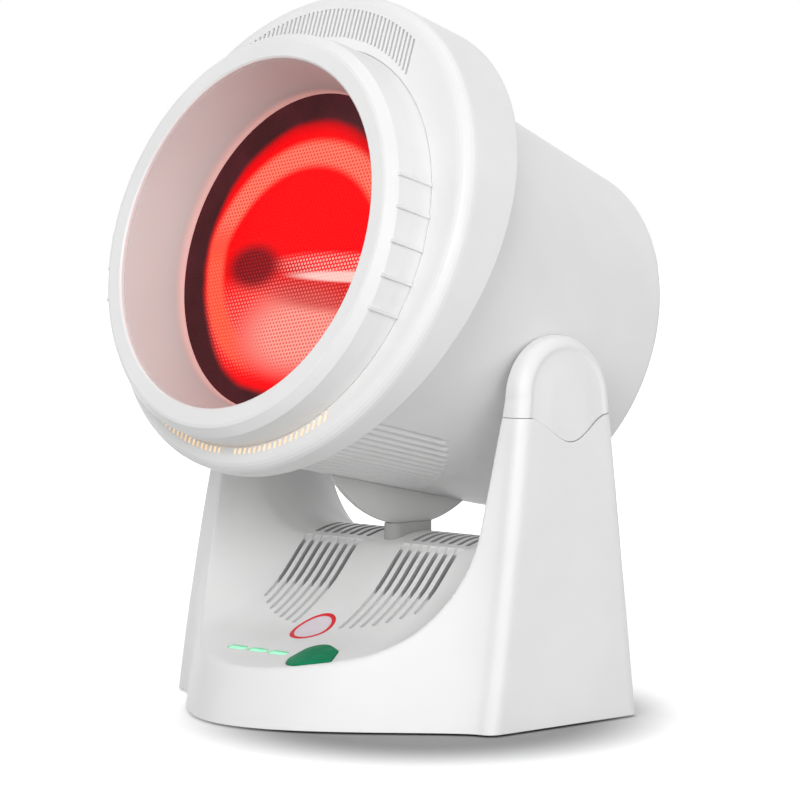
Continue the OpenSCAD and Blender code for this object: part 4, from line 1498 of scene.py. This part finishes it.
@dataclass
class DrumHousing:
    """The cone behind the ring: it droops a little, with louvres below and a sunk back.

    It is drawn in the ring's frame, where Z is the head's axis and Y is up.
    """

    start: float = -8.5
    seam: float = -25.3
    length: float = 156.4
    seam_radius: float = 91.35
    back_radius: float = 78.15
    drop: float = 3.45
    droop: float = 1.5
    fillet: float = 5.0
    wall: float = 2.4
    grille_radius: float = 46.2
    well_radius: float = 61.0
    well_floor: float = -152.9
    back_wall: float = 3.4
    louvres: int = 33
    louvre_step: float = 2.37
    louvre_depth: float = 1.95
    louvre_ends: tuple = ((0.0, -106.5), (10.0, -98.9), (18.3, -92.7), (26.1, -85.9),
                          (30.9, -79.8), (35.6, -72.6), (38.0, -68.2))

    def frame(self) -> Matrix:
        """Return the cone's own frame in the ring's frame, in millimetres."""
        return (Matrix.Translation((0.0, -self.drop, self.seam))
                @ Matrix.Rotation(math.radians(self.droop), 4, "X")
                @ Matrix.Translation((0.0, 0.0, -self.seam)))

    def radius(self, z: float) -> float:
        """Return the cone's radius at a place along its axis."""
        share = (self.seam - z) / (self.length + self.seam)
        return self.seam_radius + (self.back_radius - self.seam_radius) * share

    def body(self, t: float, length: float, sides: int = 192) -> Solids:
        """Return the closed cone, drawn in by t.

        Args:
            t: Distance to draw the surface in.
            length: Distance from the ring's face to the solid's back.
            sides: Number of sides.

        Returns:
            The solid, in the cone's frame.
        """
        back = -length + self.fillet
        line = [(0.01, self.start), (self.radius(self.start) - t, self.start)]
        line += [(self.radius(z) - t, z) for z in np.linspace(self.start, back, 14)[1:-1]]
        for turn in np.radians(np.arange(0, 91, 11.25)):
            reach = self.fillet - t
            line.append((self.radius(back) - self.fillet + reach * math.cos(turn),
                         back - reach * math.sin(turn)))
        line.append((0.01, line[-1][1]))
        tool = Solids()
        tool.revolve(line, sides)
        return tool

    def well(self) -> Solids:
        """Return the cutter of the sunk back with its sloped wall, and of the grille's opening."""
        tool = Solids()
        line = [(self.grille_radius, -140.0), (self.grille_radius, self.well_floor),
                (self.well_radius, self.well_floor), (self.well_radius + 4.3, -self.length - 5.6)]
        tool.revolve(line, 128)
        return tool

    def louvre(self, ramps: Solids, slits: Solids, angle: float) -> None:
        """Add the cutters of one louvre: a ramp that rises to the next one, with a slit below it.

        Args:
            ramps: Cutters of the ramps.
            slits: Cutters of the slits.
            angle: Angle from straight down in degrees.
        """
        end = float(np.interp(abs(angle), *zip(*self.louvre_ends)))
        rows = [-14.0, *np.linspace(-24.0, end + 4.0, 6), end + 1.8, end + 0.6, end]
        depths = [self.louvre_depth] * 7 + [1.6, 0.9, 0.15]
        turn = math.radians(angle)
        side = 1.0 if angle >= 0 else -1.0
        across = Vector((math.cos(turn), math.sin(turn), 0.0)) * side
        down = Vector((math.sin(turn), -math.cos(turn), 0.0))
        ramp, slit = [], []
        for z, depth in zip(rows, depths):
            middle = down * self.radius(z) + Vector((0.0, 0.0, z))
            ramp.append([middle + across * u + down * v
                         for u, v in ((1.3, 2.0), (1.3, -depth), (0.6, -depth), (-1.5, 0.1),
                                      (-1.5, 2.0))])
            slit.append([middle + across * u + down * v
                         for u, v in ((1.2, 1.0), (1.2, -5.0), (0.65, -5.0), (0.65, 1.0))])
        ramps.loft(ramp)
        slits.loft(slit[:7])

    def make(self, white: bpy.types.Material) -> list[bpy.types.Object]:
        """Build and dress the cone.

        Args:
            white: Finish of the moulding.

        Returns:
            The pieces.
        """
        made = self.body(0.0, self.length).build("drum_skin")
        inside = self.wall - self.well_floor - self.back_wall
        inner = self.body(self.wall, inside).build("drum_inside")
        # A hair of offset keeps the two open ends from lying in one plane.
        inner.data.transform(Matrix.Translation((0.0, 0.0, 0.01)))
        carve(made, inner)
        ramps, slits = Solids(), Solids()
        for k in range(self.louvres):
            self.louvre(ramps, slits, (k - (self.louvres - 1) / 2) * self.louvre_step)
        carve(made, ramps.build("louvre_ramps"))
        carve(made, slits.build("louvre_slits"))
        made.data.transform(self.frame())
        carve(made, self.well().build("drum_well"))
        finish_mesh(made)
        made.data.transform(RING.matrix())
        settle_piece(made, white, "head", "drum_housing")
        return [made]


# ---- glass ---------------------------------------------------------------------------


@dataclass
class FilterGlass:
    """The red filter: a slightly domed disc with a moulded lattice of small pips."""

    radius: float = 71.1
    depth: float = 31.5
    thick: float = 4.0
    fall: float = 0.8
    pitch: float = 1.85
    turn: float = 8.0
    pip: float = 0.2
    reach: float = 58.0
    fine: int = 3

    def front(self, x: Array, y: Array) -> Array:
        """Return the depth of the front face, with its pips."""
        out = np.hypot(x, y)
        tall = math.sqrt(3.0)
        least = np.full(out.shape, 9.0)
        for shift in (0.0, 0.5):
            u = np.mod(x / self.pitch + shift + 0.5, 1.0) - 0.5
            v = np.mod(y / self.pitch + shift * tall + tall / 2, tall) - tall / 2
            least = np.minimum(least, np.hypot(u, v))
        pips = self.pip * np.clip(1 - (least / 0.42) ** 2, 0.0, 1.0)
        pips *= np.clip((self.reach - out) / 3.0, 0.0, 1.0)
        return 0.6 - self.depth - self.fall * (out / self.radius) ** 2 + pips

    def build(self) -> bpy.types.Object:
        """Build the disc.

        Returns:
            The finished piece, in the hood's own frame.
        """
        step = self.pitch / self.fine
        rise = step * math.sqrt(3.0) / 2
        n = int(math.ceil((self.radius + 2) / step))
        m = int(math.ceil((self.radius + 2) / rise))
        i, j = np.meshgrid(np.arange(-n, n + 1), np.arange(-m, m + 1), indexing="xy")
        x = (i + 0.5 * (j % 2)) * step
        y = j * rise
        z = self.front(x, y)
        wide = 2 * n + 1
        points = np.stack([x, y, z], -1).reshape(-1, 3)
        number = np.arange(len(points)).reshape(z.shape)
        faces = []
        for row in range(2 * m):
            a, b = number[row], number[row + 1]
            odd = (row - m) % 2
            left, right = (a[:-1], a[1:]), (b[:-1], b[1:])
            if odd:
                faces += [*zip(left[0], right[1], right[0]), *zip(left[0], left[1], right[1])]
            else:
                faces += [*zip(left[0], left[1], right[0]), *zip(left[1], right[1], right[0])]
        outline = [*number[0], *number[1:, -1], *number[-1, -2::-1], *number[-2:0:-1, 0]]
        start = len(points)
        base = points[outline].copy()
        base[:, 2] = -self.depth - 12.0
        points = np.concatenate([points, base])
        count = len(outline)
        for k in range(count):
            nxt = (k + 1) % count
            faces.append((outline[nxt], outline[k], start + k, start + nxt))
        faces.append(tuple(range(start, start + count))[::-1])
        slab = new_object("glass_slab", points, [tuple(int(v) for v in f) for f in faces])
        body = Solids()
        back = -self.depth + 0.6 - self.thick
        body.revolve([(2.0, back), (self.radius * 0.5, back - 0.2), (self.radius, back - self.fall),
                      (self.radius, -self.depth + 4.0), (2.0, -self.depth + 4.0)], 160)
        made = body.build("filter_lens")
        face_outwards(slab)
        slab.data.transform(Matrix.Rotation(math.radians(self.turn), 4, "Z"))
        carve(made, slab, "INTERSECT")
        finish_mesh(made, (0.0, 0.0, 0.0), 40.0)
        made.matrix_world = HOOD.matrix()
        return made

    def make(self) -> list[bpy.types.Object]:
        """Build and dress the filter.

        Returns:
            The pieces.
        """
        made = self.build()
        red = FilterGlow("red_filter_glass", self.pitch, self.turn).make()
        settle_piece(made, red, "head", "glass_filter")
        return [made]


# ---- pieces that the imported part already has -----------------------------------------


@dataclass
class Fittings:
    """Finishes of the pieces that keep their own mesh."""

    nodes: dict[str, bpy.types.Object]
    white: bpy.types.Material

    def pair(self, name: str) -> list[str]:
        """Return the names of a left and a right piece."""
        return [f"{name}_left", f"{name}_right"]

    def finishes(self, controls: Controls) -> dict[str, tuple[bpy.types.Material, list[str]]]:
        """Return each finish with the nodes that wear it.

        Args:
            controls: The controls, which place the light windows.

        Returns:
            Materials and node names by a short name.
        """
        plated = SheetMetal("zinc_plated_steel", (0.66, 0.67, 0.69), 0.32).make()
        bright = SheetMetal("rolled_aluminium", (0.85, 0.85, 0.86), 0.2, (4.0, 0.2, 4.0)).make()
        dark = Moulded("black_nylon", (0.02, 0.02, 0.022), Sheen.MATT, 0.012).make()
        return {
            "white": (self.white, ["hood", *self.pair("trunnion")]),
            # Painted shade: the fin is the drum's white plastic, greyed for the shade under the drum.
            "fin": (Moulded("fin_white_painted_shade", (0.62, 0.622, 0.615)).make(), ["guide_fin"]),
            "ring": (WarmRing("ring_white", (0.84, 0.842, 0.84)).make(), ["front_ring"]),
            "lining": (HoodLining("hood_lining", (0.66, 0.635, 0.62), Sheen.MATT).make(),
                       ["hood_liner"]),
            "plate": (Moulded("plate_white", (0.74, 0.745, 0.74), Sheen.MATT, 0.012).make(),
                      ["base_plate", "rear_grille"]),
            "post": (Moulded("joint_grey", (0.42, 0.42, 0.41), Sheen.MATT).make(),
                     ["guide_post"]),
            "nylon": (Moulded("natural_nylon", (0.78, 0.75, 0.64), Sheen.MATT).make(),
                      self.pair("pivot_bush")),
            "feet": (Rubber("foot_rubber", (0.03, 0.03, 0.032)).make(),
                     [f"foot_{a}_{b}" for a in ("front", "rear") for b in ("left", "right")]),
            "seal": (Rubber("seal_rubber", (0.06, 0.02, 0.018)).make(), ["glass_gasket"]),
            "dark": (dark, ["cord_gland", "button_switch", "thermal_cutout",
                            *self.pair("friction_pad"), *self.pair("thrust_washer")]),
            "plated": (plated, ["plate_screws", "bracket_screws", "drum_screws", "glass_frame",
                                *self.pair("yoke_bracket")]),
            "bright": (bright, ["reflector", "heat_shield", "heat_sink"]),
            "tube": (TubeGlass("tube_glass", (0.98, 0.9, 0.82)).make(), ["halogen_tube"]),
            "holders": (Ceramic("holder_ceramic", (0.8, 0.79, 0.74)).make(),
                        self.pair("tube_holder")),
            "boards": (CircuitBoard("board_green", (0.02, 0.13, 0.05), (0.05, 0.26, 0.1)).make(),
                       ["control_board", "power_board"]),
            "relay": (Moulded("relay_blue", (0.02, 0.07, 0.3), Sheen.GLOSSY).make(), ["relay"]),
            "capacitor": (Enamel("capacitor_gold", (0.62, 0.4, 0.08), 0.3).make(), ["capacitor"]),
            "terminal": (Moulded("terminal_green", (0.05, 0.24, 0.1)).make(), ["terminal_block"]),
            "inlay": (Printed("inlay_print", (0.84, 0.76, 0.82), (0.8, 0.006, 0.014)).make(),
                      ["inlay_ring", "inlay_disc"]),
            **{f"light_{name}": (controls.window(f"light_window_{name}", x), [f"light_bar_{name}"])
               for name, x in zip(("left", "middle", "right"), controls.light_x)},
        }

    def dress(self, controls: Controls) -> None:
        """Give every node its finish.

        Args:
            controls: The controls, which place the light windows.
        """
        for short, (material, names) in self.finishes(controls).items():
            for name in names:
                mesh = self.nodes[name].data
                mesh.materials.clear()
                mesh.materials.append(material)
            log.info("finish %s: %s", short, ", ".join(names))


# ---- studio --------------------------------------------------------------------------


@dataclass(frozen=True)
class SoftLight:
    """Square light: its place and width in metres and its power in watts."""

    name: str
    spot: Point
    size: float
    power: float


@dataclass
class Studio:
    """White studio: floor, soft lights, sky and the camera at the photograph's angle."""

    eye: Point = (1104.98, -1044.66, 220.49)
    back: Point = (0.72312, -0.68828, 0.05799)
    right: Point = (0.68953, 0.72425, -0.00214)
    up: Point = (-0.04053, 0.04153, 0.99831)
    focal_px: float = 3529.9
    image_px: float = 800.0
    sky: float = 0.47
    floor_lift: float = 0.48
    aim: Point = (0.0, 0.0, 0.16)
    lights: tuple[SoftLight, ...] = (
        SoftLight("key", (1.2, -1.9, 1.3), 1.3, 25.0),
        SoftLight("side", (2.1, -0.8, 0.55), 1.3, 13.5),
        SoftLight("fill", (-1.9, -0.9, 0.9), 1.3, 3.2),
        SoftLight("top", (0.1, 0.6, 2.4), 1.4, 7.2),
    )

    def camera(self) -> None:
        """Place the camera."""
        data = bpy.data.cameras.new("camera")
        data.sensor_width = 36.0
        data.lens = self.focal_px / self.image_px * data.sensor_width
        data.clip_start, data.clip_end = 0.05, 60.0
        made = bpy.data.objects.new("camera", data)
        bpy.context.scene.collection.objects.link(made)
        turn = Matrix((self.right, self.up, self.back)).transposed().to_4x4()
        made.matrix_world = Matrix.Translation(Vector(self.eye) * MM) @ turn
        bpy.context.scene.camera = made

    def lamp(self, light: SoftLight) -> None:
        """Place one soft light that faces the lamp."""
        data = bpy.data.lights.new(light.name, "AREA")
        data.shape, data.size, data.energy = "SQUARE", light.size, light.power
        made = bpy.data.objects.new(light.name, data)
        bpy.context.scene.collection.objects.link(made)
        made.location = light.spot
        made.rotation_mode = "QUATERNION"
        facing = Vector(self.aim) - Vector(light.spot)
        made.rotation_quaternion = facing.to_track_quat("-Z", "Y")

    def white_to_camera(self, tree: bpy.types.NodeTree) -> Socket:
        """Return a value that is 1 for rays from the camera, from gloss and through glass."""
        path = tree.nodes.new("ShaderNodeLightPath")
        last = path.outputs["Is Camera Ray"]
        for name in ("Is Glossy Ray", "Is Transmission Ray"):
            both = tree.nodes.new("ShaderNodeMath")
            both.operation = "MAXIMUM"
            tree.links.new(last, both.inputs[0])
            tree.links.new(path.outputs[name], both.inputs[1])
            last = both.outputs[0]
        return last

    def world(self) -> None:
        """Make the sky: plain white to the camera and a soft light to the lamp."""
        world = bpy.data.worlds.new("studio_sky")
        bpy.context.scene.world = world
        world.use_nodes = True
        tree = world.node_tree
        ground = tree.nodes["Background"]
        ground.inputs["Color"].default_value = (1.0, 1.0, 1.0, 1.0)
        strength = tree.nodes.new("ShaderNodeMapRange")
        strength.inputs["To Min"].default_value = self.sky
        strength.inputs["To Max"].default_value = 1.0
        tree.links.new(self.white_to_camera(tree), strength.inputs["Value"])
        tree.links.new(strength.outputs[0], ground.inputs["Strength"])

    def floor(self) -> None:
        """Make the round white floor, which keeps the lamp's shadow and has a painted shadow darkened into
        its colour round the lamp.
        """
        angles = np.linspace(0, 2 * math.pi, 96, endpoint=False)
        rim = [(9.0 * math.cos(a), 9.0 * math.sin(a), 0.0) for a in angles]
        made = new_object("studio_floor", rim, [list(range(len(rim)))])
        tree = Tree("studio_floor")
        spot = tree.place()
        cloud = tree.spread(tree.noise(spot, 240.0), 0.3, 0.7, (0.98, 1.02))
        seen = self.white_to_camera(tree.material.node_tree)
        # In an ellipse round the lamp the floor's colour to the camera is darkened into a painted shadow on
        # top of the lamp's real shadow; the floor round it is lit to white.
        aside = tree.add("VectorMath", {0: spot, 1: (0.0055, 0.0058, 0.0)}, operation="DOT_PRODUCT")
        ahead = tree.add("VectorMath", {0: spot, 1: (0.0044, -0.0042, 0.0)}, operation="DOT_PRODUCT")
        near = tree.add("CombineXYZ", {0: tree.math("ADD", aside.outputs[1], -0.14),
                                       1: tree.math("ADD", ahead.outputs[1], -0.2), 2: 0.0})
        clear = tree.spread(tree.length(near.outputs[0]), 0.5, 0.98, soft=True)
        # Painted shadow: the floor's colour seen by the camera falls from 0.88 to 0.36 towards the lamp.
        painted_shadow_albedo = tree.spread(clear, 0.0, 1.0, (0.36, 0.88))
        cloud = tree.math("MULTIPLY", cloud, tree.blend_value(seen, 0.55, painted_shadow_albedo))
        shade = tree.add("CombineXYZ", {0: cloud, 1: cloud, 2: cloud}).outputs[0]
        away = tree.length(tree.vector("MULTIPLY", spot, (1.0, 1.0, 0.0)))
        rise = tree.math("MAXIMUM", tree.spread(away, 240.0, 620.0, soft=True),
                         tree.math("MULTIPLY", clear, self.floor_lift))
        lift = tree.math("MULTIPLY", seen, rise)
        tree.surface(Base_Color=shade, Roughness=0.9, Specular_IOR_Level=0.0,
                     Emission_Color=(1.0, 1.0, 1.0), Emission_Strength=lift)
        made.data.materials.append(tree.material)
        made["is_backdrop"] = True

    def build(self) -> None:
        """Build the whole studio."""
        self.camera()
        self.world()
        self.floor()
        for light in self.lights:
            self.lamp(light)
        bpy.context.scene.view_settings.view_transform = "Standard"


# ---- main ----------------------------------------------------------------------------


def corners() -> list[list[float]]:
    """Return the lowest and highest corner of what is shown, as plain lists."""
    return [[float(v) for v in corner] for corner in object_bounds()]


def main() -> None:
    """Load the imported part, build its skins and finishes, and light it."""
    logging.basicConfig(level=logging.INFO, format="%(name)s: %(message)s")
    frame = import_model()
    white = Moulded("shell_white", (0.84, 0.842, 0.84)).make()
    green = Enamel("button_green", (0.0, 0.235, 0.1), 0.42).make()
    controls = Controls()
    # The recess and inside materials are painted shade: the same white plastic, greyed where shade falls in
    # the grooves, holes, slots and cavity.
    recess_shade = Moulded("shell_recess_painted_shade", (0.66, 0.662, 0.66), Sheen.MATT).make()
    shade = Moulded("shell_inside_painted_shade", (0.42, 0.42, 0.42), Sheen.MATT).make()
    pieces = BaseHousing().make(controls, white, recess_shade, shade)
    pieces += controls.make(green)
    pieces += DrumHousing().make(white)
    pieces += FilterGlass().make()
    for made in pieces:
        log.info("built %s with %d faces", made.name, len(made.data.polygons))
    Fittings(frame["nodes"], white).dress(controls)
    Studio().build()


if __name__ == "__main__":
    main()
